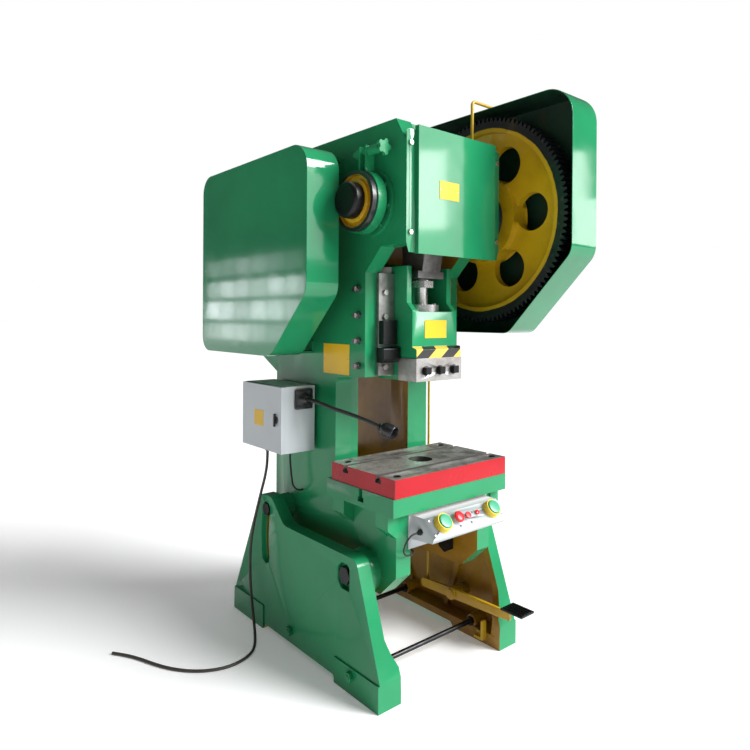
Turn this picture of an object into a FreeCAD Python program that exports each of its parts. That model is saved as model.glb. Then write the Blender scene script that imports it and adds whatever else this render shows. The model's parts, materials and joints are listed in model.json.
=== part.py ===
import FreeCAD, Part
import math
import os

from FreeCAD import Vector

# Open-back inclinable stamping press of the 25 tonne class.  Millimetres, +Z up.
# X runs to the operator's right, Y runs to the back.  While the pieces are built, Y = 0 is the
# axis of the ram and of the crankshaft; save() then moves every piece by ORIGIN_SHIFT_Y, so that
# the finished model's origin lies on the floor under the middle of the machine's outline.
ORIGIN_SHIFT_Y = -211.5

# ---- running clearances -------------------------------------------------------------------
RUN = 0.05          # radial clearance of a shaft or pin in its bore
SEAT = 0.3          # gap between faces of different pieces that only meet
SLIDE = 0.15        # clearance of the ram's rails in the gibs

# ---- frame --------------------------------------------------------------------------------
WALL_IN = 170.0     # inner face of a side wall, from the middle
WALL_OUT = 235.0    # outer face of a side wall
WALL_REAR = 638.0   # rear edge of the walls
FRONT_LOW = -132.0  # front edge of the walls under the table
LOW_Z = 309.0       # lowest edge of the walls
CHIN_Z = 387.0      # where the chamfer of the lower front corner starts
TABLE_Z0 = 606.0
TABLE_Z1 = 667.0
TABLE_HALF_X = 283.0
TABLE_Y0 = -172.0
TABLE_Y1 = 198.0
COLUMN_IN = 130.0   # inner face of the throat columns
COLUMN_Y = 213.0    # front face of the throat columns
COLUMN_DEPTH = 105.0
THROAT_Z = 1030.0   # underside of the head at the columns
HEAD_Z = 1044.0     # underside of the head at the gibs
GUIDE_Y = 40.0      # front face of the head beside the gibs
GUIDE_TOP = 1414.0
CHEEK_Y = -44.0
CHEEK_Z = 1499.0    # underside of the head's cheeks
HEAD_FRONT = -169.0
TOP_Z = 1920.0
TOP_FRONT = -119.0
TOP_REAR = 488.0
BEVEL_Z = 1838.0
SHOULDER_Z = 1560.0

# ---- bolster plate ------------------------------------------------------------------------
BOLSTER_HALF_X = 280.0
BOLSTER_HALF_Y = 175.0
BOLSTER_T = 63.0
BOLSTER_HOLE_R = 45.0
TSLOT_Y = 90.0
TSLOT_W = 18.0
TSLOT_NECK = 14.0
TSLOT_HEAD_W = 30.0
TSLOT_HEAD_H = 12.0
BOLSTER_BOLT_X = 240.0
BOLSTER_BOLT_Y = 135.0
BOLSTER_BOLT_R = 10.0

# ---- stand --------------------------------------------------------------------------------
PIVOT_Y = 18.0
PIVOT_Z = 378.0
PIVOT_R = 25.0
LEG_RIM_IN = 288.0  # inner edge of a leg's rim
LEG_WEB_IN = 316.0
LEG_OUT = 340.0
PAD_OUT = 346.0
FOOT_IN = 252.0
LEG_RIM_T = 26.0
SLOT_R = 528.0      # radius of the tilt slot about the pivot
SLOT_TOP_DEG = 11.5
SLOT_SWEEP_DEG = 20.0
LOCK_R = 17.0       # shank of the tilt lock bolt
RECESS_X = 322.0    # floor of the slot's recess
TIE_R = 9.0
TIE_YZ = ((-32.0, 62.0), (352.0, 66.0))

# ---- crank drive --------------------------------------------------------------------------
CRANK_Z = 1650.0
JOURNAL_R = 50.0
BUSH_R = 62.0
THROW = 40.0        # half of the 80 mm stroke
CRANKPIN_R = 55.0
CRANKPIN_HALF = 60.0
WEB_OUT = 96.0
GEAR_X0 = 328.0
GEAR_X1 = 408.0
MODULE = 7.0
GEAR_TEETH = 115
PINION_TEETH = 19
PRESSURE_DEG = 20.0
BACKLASH = 0.9
GEAR_WEB_R = 363.0
GEAR_HOLE_PITCH_R = 235.0
GEAR_HOLE_R = 73.0
GEAR_HOLES = 6
GEAR_HOLE_PHASE = 57.0
GEAR_HUB_R = 172.0
PINION_DZ = -170.0  # height of the pinion shaft from the crankshaft
PINION_SHAFT_R = 32.0
PINION_BUSH_R = 42.0
CENTRES = MODULE * (GEAR_TEETH + PINION_TEETH) / 2.0
PINION_Y = math.sqrt(CENTRES ** 2 - PINION_DZ ** 2)
PINION_Z = CRANK_Z + PINION_DZ
FLYWHEEL_R = 300.0
FLYWHEEL_X0 = -440.0
FLYWHEEL_X1 = -350.0
MOTOR_PULLEY_R = 75.0
MOTOR_Y = 750.0
MOTOR_Z = 1215.0
MOTOR_R = 100.0
MOTOR_SHAFT_R = 14.0
BELT_PITCH = 24.0
BELT_W = 12.7
BELT_H = 10.0

# ---- brake --------------------------------------------------------------------------------
DRUM_R = 103.0
DRUM_X0 = -320.0
DRUM_X1 = -258.0
BAND_X0 = -300.0
BAND_X1 = -264.0
BAND_T = 5.0
FLANGE_R = 115.0
FLANGE_T = 12.0

# ---- guards -------------------------------------------------------------------------------
SHEET = 3.0
BELT_GUARD_X = -465.0
BELT_GUARD_IN = -333.0
BELT_GUARD = ((66, 1843, 88), (868, 1843, 70), (868, 1112, 64), (300, 1112, 100), (66, 1340, 80))
GEAR_GUARD_X = 455.0
GEAR_GUARD_IN = 300.0
GEAR_GUARD = ((-445, 2085, 115), (550, 2085, 110), (550, 1350, 70), (400, 1197, 70),
              (-165, 1197, 60), (-445, 1490, 75))
COVER_HALF_X = 195.0
COVER_FRONT = -188.0
COVER_Z0 = 1467.0
COVER_Z1 = 1892.0
COVER_SHEET = 2.5
STAY_R = 6.0

# ---- ram ----------------------------------------------------------------------------------
RAM_HALF_X = 112.0
RAM_BACK = 112.0
RAM_BOTTOM = 1030.0
RAM_TOP = 1440.0
RAM_UPPER_Y = -42.0
RAM_MID_Y = -72.0
RAM_LOW_Y = -95.0
BLOCK_TOP = 1112.0
POCKET_HALF_X = 90.0
POCKET_Z = 1277.0
POCKET_BACK = 70.0
RAIL_Y = 75.0
RAIL_HALF = 34.0
RAIL_TIP = 146.0
SHANK_R = 25.0
SHANK_DEPTH = 78.0
SCREW_R = 23.0
BALL_R = 36.0
BALL_Z = 1255.0
GIB_PLATE_Y = 24.0
GIB_PLATE_OUT = 186.0
GIB_BOLT_X = 158.0
GIB_BOLT_Z = (1078.0, 1258.0, 1345.0)
GIB_SCREW_Y = 75.0
GIB_SCREW_Z = (1082.0, 1171.0, 1262.0, 1356.0)
GIB_SCREW_R = 8.0

# ---- electrical ---------------------------------------------------------------------------
CAB_X0 = -378.0     # front edge of the cabinet's shell, behind the door
CAB_X1 = -250.0
CAB_Y0 = 331.0
CAB_Y1 = 631.0
CAB_Z0 = 743.0
CAB_Z1 = 993.0
CAB_WALL = 2.0
DOOR_T = 20.0
LAMP_Z = 944.0
LAMP_X = -303.0
LAMP_HALF = 38.0
NECK_R = 7.0
BOX_X0 = -165.0
BOX_X1 = 205.0
BOX_BACK = FRONT_LOW - 3.0
CONTROL = ((BOX_BACK, 587.0), (-191.0, 587.0), (-239.0, 531.0), (-232.0, 514.0), (BOX_BACK, 505.0))
CORD_R = 5.5

# ---- pedal --------------------------------------------------------------------------------
LEVER_X0 = 236.0
LEVER_X1 = 248.0
PEDAL_Y = 60.0
PEDAL_Z = 143.0
PEDAL_SHAFT_R = 12.0
TRIP_X = 260.0
TRIP_Y = 222.0
TRIP_R = 5.0
TRIP_TOP = 1440.0


# ---- helpers ------------------------------------------------------------------------------
def place(axis, at, u, v):
    """A point from its two coordinates in the plane across an axis."""
    if axis == "x":
        return Vector(at, u, v)
    if axis == "y":
        return Vector(u, at, v)
    return Vector(u, v, at)


def outline(points, axis, at):
    """A closed wire through (u, v) or (u, v, radius) corners, each rounded by its radius."""
    count = len(points)
    starts = []
    for i in range(count):
        here = Vector(points[i][0], points[i][1], 0)
        radius = points[i][2] if len(points[i]) > 2 else 0
        if radius == 0:
            starts.append((here, here, here))
            continue
        to_last = (Vector(points[i - 1][0], points[i - 1][1], 0) - here).normalize()
        following = points[(i + 1) % count]
        to_next = (Vector(following[0], following[1], 0) - here).normalize()
        half = to_last.getAngle(to_next) / 2.0
        reach = radius / math.tan(half)
        middle = here + (to_last + to_next).normalize() * (radius / math.sin(half) - radius)
        starts.append((here + to_last * reach, middle, here + to_next * reach))
    edges = []
    for i in range(count):
        first, middle, last = [place(axis, at, p.x, p.y) for p in starts[i]]
        if (last - first).Length > 1e-6:
            edges.append(Part.Arc(first, middle, last).toShape())
        onward = starts[(i + 1) % count][0]
        onward = place(axis, at, onward.x, onward.y)
        if (onward - last).Length > 1e-6:
            edges.append(Part.LineSegment(last, onward).toShape())
    return Part.Wire(edges)


def plate(axis, start, end, points):
    """A flat plate with a rounded outline, from start to end along an axis."""
    way = place(axis, end - start, 0, 0)
    if axis == "y":
        way = Vector(0, end - start, 0)
    if axis == "z":
        way = Vector(0, 0, end - start)
    return Part.Face(outline(points, axis, start)).extrude(way)


def box(x0, x1, y0, y1, z0, z1):
    return Part.makeBox(x1 - x0, y1 - y0, z1 - z0, Vector(x0, y0, z0))


def rod(axis, start, end, u, v, radius):
    """A round bar along an axis, centred on (u, v)."""
    way = {"x": Vector(1, 0, 0), "y": Vector(0, 1, 0), "z": Vector(0, 0, 1)}[axis]
    return Part.makeCylinder(radius, end - start, place(axis, start, u, v), way)


def hexagon(axis, start, end, u, v, across_flats, turn=0.0):
    corner = across_flats / math.sqrt(3.0)
    points = []
    for i in range(6):
        angle = math.radians(60.0 * i + turn)
        points.append((u + corner * math.cos(angle), v + corner * math.sin(angle)))
    return plate(axis, start, end, points)


def fuse(parts):
    whole = parts[0].multiFuse(parts[1:]) if len(parts) > 1 else parts[0]
    return whole.removeSplitter()


def both_sides(shape):
    return [shape, shape.mirror(Vector(0, 0, 0), Vector(1, 0, 0))]


def group(parts):
    return Part.Compound(parts)


def save(name, shape):
    shape = shape.copy()
    shape.translate(Vector(0, ORIGIN_SHIFT_Y, 0))
    shape.exportStep("parts/" + name + ".step")
    solids = shape.Solids
    if not solids or min(s.Volume for s in solids) <= 0 or not shape.isValid():
        print("check", name, len(solids), shape.isValid())


def bolt(axis, seat, way, u, v, radius, grip, across, head):
    """A hexagon bolt whose head stands on a face at seat and points along way (+1 or -1)."""
    lows = sorted((seat, seat + way * head))
    shank = sorted((seat - way * grip, seat + way * 1.0))
    return fuse([hexagon(axis, lows[0], lows[1], u, v, across),
                 rod(axis, shank[0], shank[1], u, v, radius)])


def tube_path(points, radius):
    """A cord's tube: straight runs between the points, joined by the largest tangent arcs."""
    spots = [Vector(*p) for p in points]
    edges = []
    last = spots[0]
    tightest = 1e9
    for i in range(1, len(spots) - 1):
        back = spots[i - 1] - spots[i]
        on = spots[i + 1] - spots[i]
        turn = math.pi - back.getAngle(on)
        run = min(back.Length, on.Length)
        bend = 0.45 * run / math.tan(turn / 2.0)
        tightest = min(tightest, bend)
        back.normalize()
        on.normalize()
        reach = bend * math.tan(turn / 2.0)
        first = spots[i] + back * reach
        end = spots[i] + on * reach
        middle = spots[i] + (back + on).normalize() * (bend / math.cos(turn / 2.0) - bend)
        if (first - last).Length > 1e-6:
            edges.append(Part.LineSegment(last, first).toShape())
        edges.append(Part.Arc(first, middle, end).toShape())
        last = end
    edges.append(Part.LineSegment(last, spots[-1]).toShape())
    spine = Part.Wire(edges)
    start = Part.Wire([Part.makeCircle(radius, spots[0], spots[1] - spots[0])])
    tube = spine.makePipeShell([start], True, False)
    length = sum(e.Length for e in edges)
    expected = math.pi * radius ** 2 * length
    print("cord: length %.0f, tightest bend %.0f, volume ratio %.4f"
          % (length, tightest, tube.Volume / expected))
    return tube


# ---- frame and table ----------------------------------------------------------------------
def wall_outline():
    return [(-51, LOW_Z, 14), (WALL_REAR - 60, LOW_Z, 40), (WALL_REAR, LOW_Z + 90, 40),
            (WALL_REAR, SHOULDER_Z, 60), (TOP_REAR, TOP_Z, 30), (TOP_FRONT, TOP_Z, 0),
            (HEAD_FRONT, BEVEL_Z, 0), (HEAD_FRONT, CHEEK_Z, 0), (CHEEK_Y, CHEEK_Z, 0),
            (GUIDE_Y, GUIDE_TOP, 0), (GUIDE_Y, HEAD_Z, 0), (COLUMN_Y, THROAT_Z, 24),
            (COLUMN_Y, TABLE_Z1, 16), (FRONT_LOW, TABLE_Z1, 0), (FRONT_LOW, CHIN_Z, 10)]


def lock_point():
    angle = math.radians(SLOT_TOP_DEG)
    return PIVOT_Y + SLOT_R * math.cos(angle), PIVOT_Z + SLOT_R * math.sin(angle)


def frame():
    lock_y, lock_z = lock_point()
    side = [plate("x", WALL_IN, WALL_OUT, wall_outline()),
            box(COLUMN_IN, WALL_IN, COLUMN_Y, COLUMN_Y + COLUMN_DEPTH, TABLE_Z1, 1110),
            box(COLUMN_IN, WALL_IN, RAM_BACK + 0.7, COLUMN_Y + 30, THROAT_Z + 4, GUIDE_TOP),
            rod("x", WALL_OUT, LEG_RIM_IN - SEAT, PIVOT_Y, PIVOT_Z, 75),
            rod("x", WALL_OUT, LEG_RIM_IN - SEAT, lock_y, lock_z, 48)]
    for front, depth in ((-140, 62), (100, 65)):
        side.append(plate("y", front, front + depth, [(WALL_OUT, 520), (WALL_OUT, TABLE_Z0),
                          (TABLE_HALF_X - 4, TABLE_Z0), (TABLE_HALF_X - 4, 556)]))
    parts = []
    for piece in side:
        parts += both_sides(piece)
    parts.append(box(-TABLE_HALF_X, TABLE_HALF_X, TABLE_Y0, TABLE_Y1, TABLE_Z0, TABLE_Z1))
    parts.append(box(-WALL_IN, WALL_IN, WALL_REAR - 36, WALL_REAR - 3, 430, 660))
    parts.append(box(-WALL_IN, WALL_IN, WALL_REAR - 36, WALL_REAR - 3, 1080, 1520))
    parts.append(box(-WALL_IN, WALL_IN, COLUMN_Y + 4, COLUMN_Y + 34, 1100, 1470))
    parts.append(box(-WALL_IN, WALL_IN, TOP_FRONT + 6, TOP_REAR - 20, TOP_Z - 24, TOP_Z - 2))
    whole = fuse(parts)
    cuts = [rod("z", TABLE_Z0 - 1, TABLE_Z1 + 1, 0, 0, 75)]
    cuts.append(rod("x", -WALL_OUT - 1, WALL_OUT + 1, 0, CRANK_Z, BUSH_R))
    cuts.append(rod("x", -WALL_OUT - 1, WALL_OUT + 1, PINION_Y, PINION_Z, PINION_BUSH_R))
    for sign in (-1, 1):
        edge = sorted((sign * (TABLE_HALF_X + 1), sign * (TABLE_HALF_X - 70)))
        cuts.append(box(edge[0], edge[1], -9, 9, TABLE_Z1 - 30, TABLE_Z1 + 1))
        cuts.append(box(edge[0], edge[1], -16, 16, TABLE_Z1 - 44, TABLE_Z1 - 28))
        reach = sorted((sign * (WALL_IN - 45), sign * (LEG_RIM_IN + 1)))
        cuts.append(rod("x", reach[0], reach[1], PIVOT_Y, PIVOT_Z, PIVOT_R + RUN))
        cuts.append(rod("x", reach[0], reach[1], lock_y, lock_z, LOCK_R))
        for z in GIB_SCREW_Z:
            edge = sorted((sign * (WALL_IN - 1), sign * (WALL_OUT + 1)))
            cuts.append(rod("x", edge[0], edge[1], GIB_SCREW_Y, z, GIB_SCREW_R))
        for z in GIB_BOLT_Z:
            cuts.append(rod("y", RAM_BACK, RAM_BACK + 60, sign * GIB_BOLT_X, z, 6.0))
        for y in (-BOLSTER_BOLT_Y, BOLSTER_BOLT_Y):
            cuts.append(rod("z", TABLE_Z0 - 1, TABLE_Z1 + 1, sign * BOLSTER_BOLT_X, y,
                            BOLSTER_BOLT_R))
        for x, z in cover_screws():
            cuts.append(rod("y", HEAD_FRONT - 1, HEAD_FRONT + 24, sign * x, z, 5.0))
    return whole.cut(Part.Compound(cuts)).removeSplitter()


def cover_screws():
    return [(WALL_OUT - 18, COVER_Z0 + 70), (WALL_OUT - 18, COVER_Z1 - 60)]


def bolster():
    top = TABLE_Z1 + BOLSTER_T
    plate_body = plate("z", TABLE_Z1, top, [(-BOLSTER_HALF_X, -BOLSTER_HALF_Y, 3),
                       (BOLSTER_HALF_X, -BOLSTER_HALF_Y, 3), (BOLSTER_HALF_X, BOLSTER_HALF_Y, 3),
                       (-BOLSTER_HALF_X, BOLSTER_HALF_Y, 3)])
    cuts = [rod("z", TABLE_Z1 - 1, top + 1, 0, 0, BOLSTER_HOLE_R)]
    ends = BOLSTER_HALF_X + 1
    for y in (-TSLOT_Y, TSLOT_Y):
        neck = top - TSLOT_NECK
        cuts.append(box(-ends, ends, y - TSLOT_W / 2, y + TSLOT_W / 2, neck - 1, top + 1))
        cuts.append(box(-ends, ends, y - TSLOT_HEAD_W / 2, y + TSLOT_HEAD_W / 2,
                        neck - TSLOT_HEAD_H, neck))
    for x in (-BOLSTER_BOLT_X, BOLSTER_BOLT_X):
        for y in (-BOLSTER_BOLT_Y, BOLSTER_BOLT_Y):
            cuts.append(rod("z", TABLE_Z1 - 1, top + 1, x, y, BOLSTER_BOLT_R))
            cuts.append(rod("z", top - 21, top + 1, x, y, BOLSTER_BOLT_R * 1.7))
    return plate_body.cut(Part.Compound(cuts))


def bolster_bolts():
    """Cap screws sunk into the bolster, with a hexagon socket in each head."""
    seat = TABLE_Z1 + BOLSTER_T - 21
    bolts = []
    for x in (-BOLSTER_BOLT_X, BOLSTER_BOLT_X):
        for y in (-BOLSTER_BOLT_Y, BOLSTER_BOLT_Y):
            head = rod("z", seat, seat + 18, x, y, BOLSTER_BOLT_R * 1.5)
            shank = rod("z", TABLE_Z0 + 8, seat + 1, x, y, BOLSTER_BOLT_R - RUN)
            bolts.append(fuse([head, shank]).cut(hexagon("z", seat + 9, seat + 19, x, y, 14)))
    return group(bolts)


# ---- stand --------------------------------------------------------------------------------
def leg_outline():
    return [(-177, 0), (63, 0), (78, 19), (536, 19), (551, 0), (797, 0, 6), (794, 91, 8),
            (589, 538, 42), (497, 538, 30), (405, 450, 60), (-52, 450, 34), (-177, 90, 12)]


def leg_pocket():
    """The hollow inside a leg, its outline stepped in by the rim's thickness."""
    return [(-134, 46, 6), (742, 46, 8), (742, 120, 8), (568, 506, 24), (512, 506, 24),
            (424, 420, 50), (-34, 420, 16), (-140, 110, 10)]


def slot_band(half_width, x0, x1, extra_deg=0.0):
    """A band along the tilt slot's arc with round ends."""
    angles = [SLOT_TOP_DEG + extra_deg, SLOT_TOP_DEG - SLOT_SWEEP_DEG / 2.0,
              SLOT_TOP_DEG - SLOT_SWEEP_DEG - 0.6 - extra_deg]

    def at(radius, degrees):
        angle = math.radians(degrees)
        return Vector(x0, PIVOT_Y + radius * math.cos(angle), PIVOT_Z + radius * math.sin(angle))

    inner = SLOT_R - half_width
    outer = SLOT_R + half_width
    turn = math.degrees(half_width / SLOT_R)
    edges = [Part.Arc(at(outer, angles[0]), at(outer, angles[1]), at(outer, angles[2])).toShape(),
             Part.Arc(at(outer, angles[2]), at(SLOT_R, angles[2] - turn),
                      at(inner, angles[2])).toShape(),
             Part.Arc(at(inner, angles[2]), at(inner, angles[1]), at(inner, angles[0])).toShape(),
             Part.Arc(at(inner, angles[0]), at(SLOT_R, angles[0] + turn),
                      at(outer, angles[0])).toShape()]
    return Part.Face(Part.Wire(edges)).extrude(Vector(x1 - x0, 0, 0))


def right_leg():
    web = plate("x", LEG_WEB_IN, LEG_OUT, leg_outline())
    rim = plate("x", LEG_RIM_IN, LEG_OUT, leg_outline())
    rim = rim.cut(plate("x", LEG_RIM_IN - 1, LEG_WEB_IN, leg_pocket()))
    foot = plate("x", FOOT_IN - 3, LEG_OUT, leg_outline())
    foot = foot.cut(plate("x", FOOT_IN - 4, LEG_OUT + 1, leg_pocket()))
    taper = plate("y", -200, 900, [(FOOT_IN - 3, -1), (LEG_OUT, -1), (LEG_OUT, 205),
                                   (LEG_RIM_IN, 205), (LEG_RIM_IN - 14, 160), (FOOT_IN, 118),
                                   (FOOT_IN - 3, 40)])
    foot = foot.common(taper)
    pads = plate("x", LEG_OUT - 1, PAD_OUT, leg_outline())
    pad_zone = [box(300, 400, -200, 63, -1, 88), box(300, 400, 551, 900, -1, 92)]
    pads = pads.common(Part.Compound(pad_zone))
    rib = plate("x", LEG_WEB_IN - 16, LEG_WEB_IN + 1, [(PIVOT_Y + 20, PIVOT_Z - 30),
                (150, 40), (172, 40), (PIVOT_Y + 46, PIVOT_Z - 20)])
    rear_rib = plate("x", LEG_WEB_IN - 16, LEG_WEB_IN + 1, [(470, 262), (330, 40), (352, 40),
                                                            (500, 262)])
    parts = [web, rim, foot, pads, rib, rear_rib,
             rod("x", LEG_RIM_IN, LEG_WEB_IN + 1, PIVOT_Y, PIVOT_Z, 68),
             slot_band(56, LEG_RIM_IN, LEG_WEB_IN + 1),
             rod("x", LEG_RIM_IN, LEG_WEB_IN + 1, PEDAL_Y, PEDAL_Z, 26)]
    for y, z in TIE_YZ:
        parts.append(rod("x", FOOT_IN, LEG_WEB_IN + 1, y, z, 24))
    leg = fuse(parts)
    cuts = [slot_band(LOCK_R + 1, LEG_RIM_IN - 1, LEG_OUT + 1),
            slot_band(29, RECESS_X, PAD_OUT + 1),
            rod("x", LEG_RIM_IN - 1, PAD_OUT, PIVOT_Y, PIVOT_Z, PIVOT_R),
            plate("x", RECESS_X, PAD_OUT + 1, [(PIVOT_Y - 34, PIVOT_Z - 45, 8),
                  (PIVOT_Y + 14, PIVOT_Z - 45, 18), (PIVOT_Y + 34, PIVOT_Z - 20, 16),
                  (PIVOT_Y + 34, PIVOT_Z + 24, 20), (PIVOT_Y + 12, PIVOT_Z + 45, 20),
                  (PIVOT_Y - 34, PIVOT_Z + 45, 20)]),
            rod("x", LEG_RIM_IN - 1, LEG_OUT - 8, PEDAL_Y, PEDAL_Z, PEDAL_SHAFT_R)]
    for y, z in TIE_YZ:
        cuts.append(rod("x", FOOT_IN - 4, PAD_OUT + 1, y, z, TIE_R))
    return leg.cut(Part.Compound(cuts)).removeSplitter()


def pedal_stop():
    """An angle bracket on the right leg's foot flange that the pedal comes down on."""
    face = FOOT_IN - 3
    return fuse([box(face - 23, face, -112, -68, 20, 30), box(face - 23, face, -112, -102, 20, 94),
                 box(face - 7, face, -112, -68, 20, 45)])


def tie_rods():
    """Two threaded bars between the legs, with a nut each side of both feet."""
    parts = []
    for y, z in TIE_YZ:
        outer = PAD_OUT if y < 0 else LEG_OUT
        pieces = [rod("x", -outer - 17, outer + 17, y, z, TIE_R)]
        for sign in (-1, 1):
            for face, way in ((FOOT_IN, -1), (outer, 1)):
                ends = sorted((sign * face, sign * (face + way * 14)))
                pieces.append(hexagon("x", ends[0], ends[1], y, z, 30))
        parts.append(fuse(pieces))
    return group(parts)


def pivot_pins():
    pins = []
    for sign in (-1, 1):
        inner = WALL_IN - 6
        shank = sorted((sign * inner, sign * (RECESS_X + 1)))
        head = sorted((sign * RECESS_X, sign * (RECESS_X + 16)))
        collar = sorted((sign * (inner - 16), sign * (inner + 1)))
        pins.append(fuse([rod("x", shank[0], shank[1], PIVOT_Y, PIVOT_Z, PIVOT_R),
                          hexagon("x", head[0], head[1], PIVOT_Y, PIVOT_Z, 54),
                          hexagon("x", collar[0], collar[1], PIVOT_Y, PIVOT_Z, 62, 30)]))
    return group(pins)


def lock_bolts():
    y, z = lock_point()
    bolts = []
    for sign in (-1, 1):
        washer = sorted((sign * (RECESS_X + SEAT), sign * (RECESS_X + 5)))
        head = sorted((sign * (RECESS_X + 5), sign * (RECESS_X + 22)))
        shank = sorted((sign * (WALL_IN + 12), sign * (RECESS_X + 6)))
        bolts.append(fuse([rod("x", washer[0], washer[1], y, z, 26),
                           hexagon("x", head[0], head[1], y, z, 46),
                           rod("x", shank[0], shank[1], y, z, LOCK_R)]))
    return group(bolts)


# ---- pedal and trip rod -------------------------------------------------------------------
def pedal_lever():
    rear = TRIP_Y + 14
    bar = plate("x", LEVER_X0, LEVER_X1, [(rear, PEDAL_Z - 26, 14), (rear, PEDAL_Z + 10, 14),
                (PEDAL_Y, PEDAL_Z + 20, 60), (-232, 168, 4), (-232, 137, 4),
                (PEDAL_Y, PEDAL_Z - 19, 60)])
    boss = rod("x", LEVER_X0 - 8, LEVER_X1 + 10, PEDAL_Y, PEDAL_Z, 24)
    lever = fuse([bar, boss])
    bore = rod("x", LEVER_X0 - 9, LEVER_X1 + 11, PEDAL_Y, PEDAL_Z, PEDAL_SHAFT_R + RUN)
    return lever.cut(bore)


def pedal_plate():
    tread = box(LEVER_X0 - 6, LEVER_X0 + 70, -292, -195, 168, 175)
    lug = box(LEVER_X1, LEVER_X1 + 6, -228, -200, 142, 169)
    ribs = []
    for i in range(5):
        x = LEVER_X0 + 4 + i * 13
        ribs.append(box(x, x + 4, -288, -199, 174, 178))
    return fuse([tread, lug] + ribs)


def pedal_shaft():
    shaft = rod("x", LEVER_X0 - 16, LEG_OUT - 8, PEDAL_Y, PEDAL_Z, PEDAL_SHAFT_R)
    collar = rod("x", LEVER_X0 - 15, LEVER_X0 - 8 - SEAT, PEDAL_Y, PEDAL_Z, 18)
    spacer = rod("x", LEVER_X1 + 10 + SEAT, LEG_RIM_IN, PEDAL_Y, PEDAL_Z, 17)
    return fuse([shaft, collar, spacer])


def trip_rod():
    eye_z = PEDAL_Z - 8
    rod_body = rod("z", eye_z, TRIP_TOP - 12, TRIP_X, TRIP_Y, TRIP_R)
    eye = rod("x", TRIP_X - 6, TRIP_X + 6, TRIP_Y, eye_z, 12)
    pin = rod("x", LEVER_X1 + 1.5, TRIP_X + 10, TRIP_Y, eye_z, 5)
    fork = box(TRIP_X - 10, TRIP_X + 10, TRIP_Y - 9, TRIP_Y + 9, TRIP_TOP - 46, TRIP_TOP - 12)
    return fuse([rod_body, eye, pin, fork])


def trip_guides():
    """Brackets on the right wall that the trip rod slides in."""
    guides = []
    for z in (560.0, 1200.0):
        arm = box(WALL_OUT, TRIP_X + 14, TRIP_Y - 14, TRIP_Y + 14, z, z + 16)
        foot = box(WALL_OUT, WALL_OUT + 6, TRIP_Y - 14, TRIP_Y + 14, z - 30, z + 16)
        hole = rod("z", z - 1, z + 17, TRIP_X, TRIP_Y, TRIP_R + RUN * 2)
        guides.append(fuse([arm, foot]).cut(hole))
    return group(guides)


# ---- crank drive --------------------------------------------------------------------------
def crankshaft():
    pin_z = CRANK_Z + THROW
    parts = [rod("x", -346, -CRANKPIN_HALF, 0, CRANK_Z, JOURNAL_R),
             rod("x", CRANKPIN_HALF, GEAR_X1 + 34, 0, CRANK_Z, JOURNAL_R),
             rod("x", -CRANKPIN_HALF - 1, CRANKPIN_HALF + 1, 0, pin_z, CRANKPIN_R)]
    for start, end in ((-WEB_OUT, -CRANKPIN_HALF), (CRANKPIN_HALF, WEB_OUT)):
        parts.append(rod("x", start, end, 0, CRANK_Z + THROW / 2, 86))
    for start, end in ((-WALL_IN + SEAT * 2, -WEB_OUT), (WEB_OUT, WALL_IN - SEAT * 2)):
        parts.append(rod("x", start, end, 0, CRANK_Z, 60))
    return fuse(parts)


def shaft_caps():
    """The domed cap over the crankshaft's brake end and the disc on its clutch end."""
    cap = rod("x", -346 - 14, DRUM_X0 - SEAT, 0, CRANK_Z, 62)
    edges = [e for e in cap.Edges if e.BoundBox.XMax < -350 and e.Length > 300]
    cap = cap.makeFillet(12, edges)
    cap = cap.cut(rod("x", -346, DRUM_X0, 0, CRANK_Z, JOURNAL_R + RUN))
    return group([cap, rod("x", GEAR_X1 + 34, GEAR_X1 + 43, 0, CRANK_Z, 62)])


def brake_drum():
    drum = rod("x", DRUM_X0, DRUM_X1, 0, CRANK_Z, DRUM_R)
    drum = drum.cut(rod("x", DRUM_X0 - 1, DRUM_X0 + 16, 0, CRANK_Z, 88))
    drum = fuse([drum, rod("x", DRUM_X0, DRUM_X1, 0, CRANK_Z, 74)])
    return drum.cut(rod("x", DRUM_X0 - 1, DRUM_X1 + 1, 0, CRANK_Z, JOURNAL_R + RUN))


def bushes():
    """Two crankshaft bushes and two pinion shaft bushes, each with a flange outside the wall."""
    parts = []
    for sign in (-1, 1):
        for y, z, bore, outer, flange in ((0, CRANK_Z, JOURNAL_R, BUSH_R, 4.0),
                                          (PINION_Y, PINION_Z, PINION_SHAFT_R, PINION_BUSH_R, 8)):
            span = sorted((sign * WALL_IN, sign * (WALL_OUT + flange)))
            lip = sorted((sign * WALL_OUT, sign * (WALL_OUT + flange)))
            bush = fuse([rod("x", span[0], span[1], y, z, outer),
                         rod("x", lip[0], lip[1], y, z, outer + 10)])
            parts.append(bush.cut(rod("x", span[0] - 1, span[1] + 1, y, z, bore + RUN)))
    return group(parts)


def bearing_flange():
    """The bolted ring on the left wall round the crankshaft's bush."""
    x0 = -WALL_OUT - FLANGE_T
    ring = rod("x", x0, -WALL_OUT, 0, CRANK_Z, FLANGE_R)
    ring = ring.cut(rod("x", x0 - 1, -WALL_OUT + 1, 0, CRANK_Z, BUSH_R + 10 + SEAT))
    parts = [ring]
    for i in range(8):
        angle = math.radians(45.0 * i + 10)
        y = 96 * math.cos(angle)
        z = CRANK_Z + 96 * math.sin(angle)
        parts.append(hexagon("x", x0 - 6, x0 + 1, y, z, 13))
    return fuse(parts)


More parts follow.
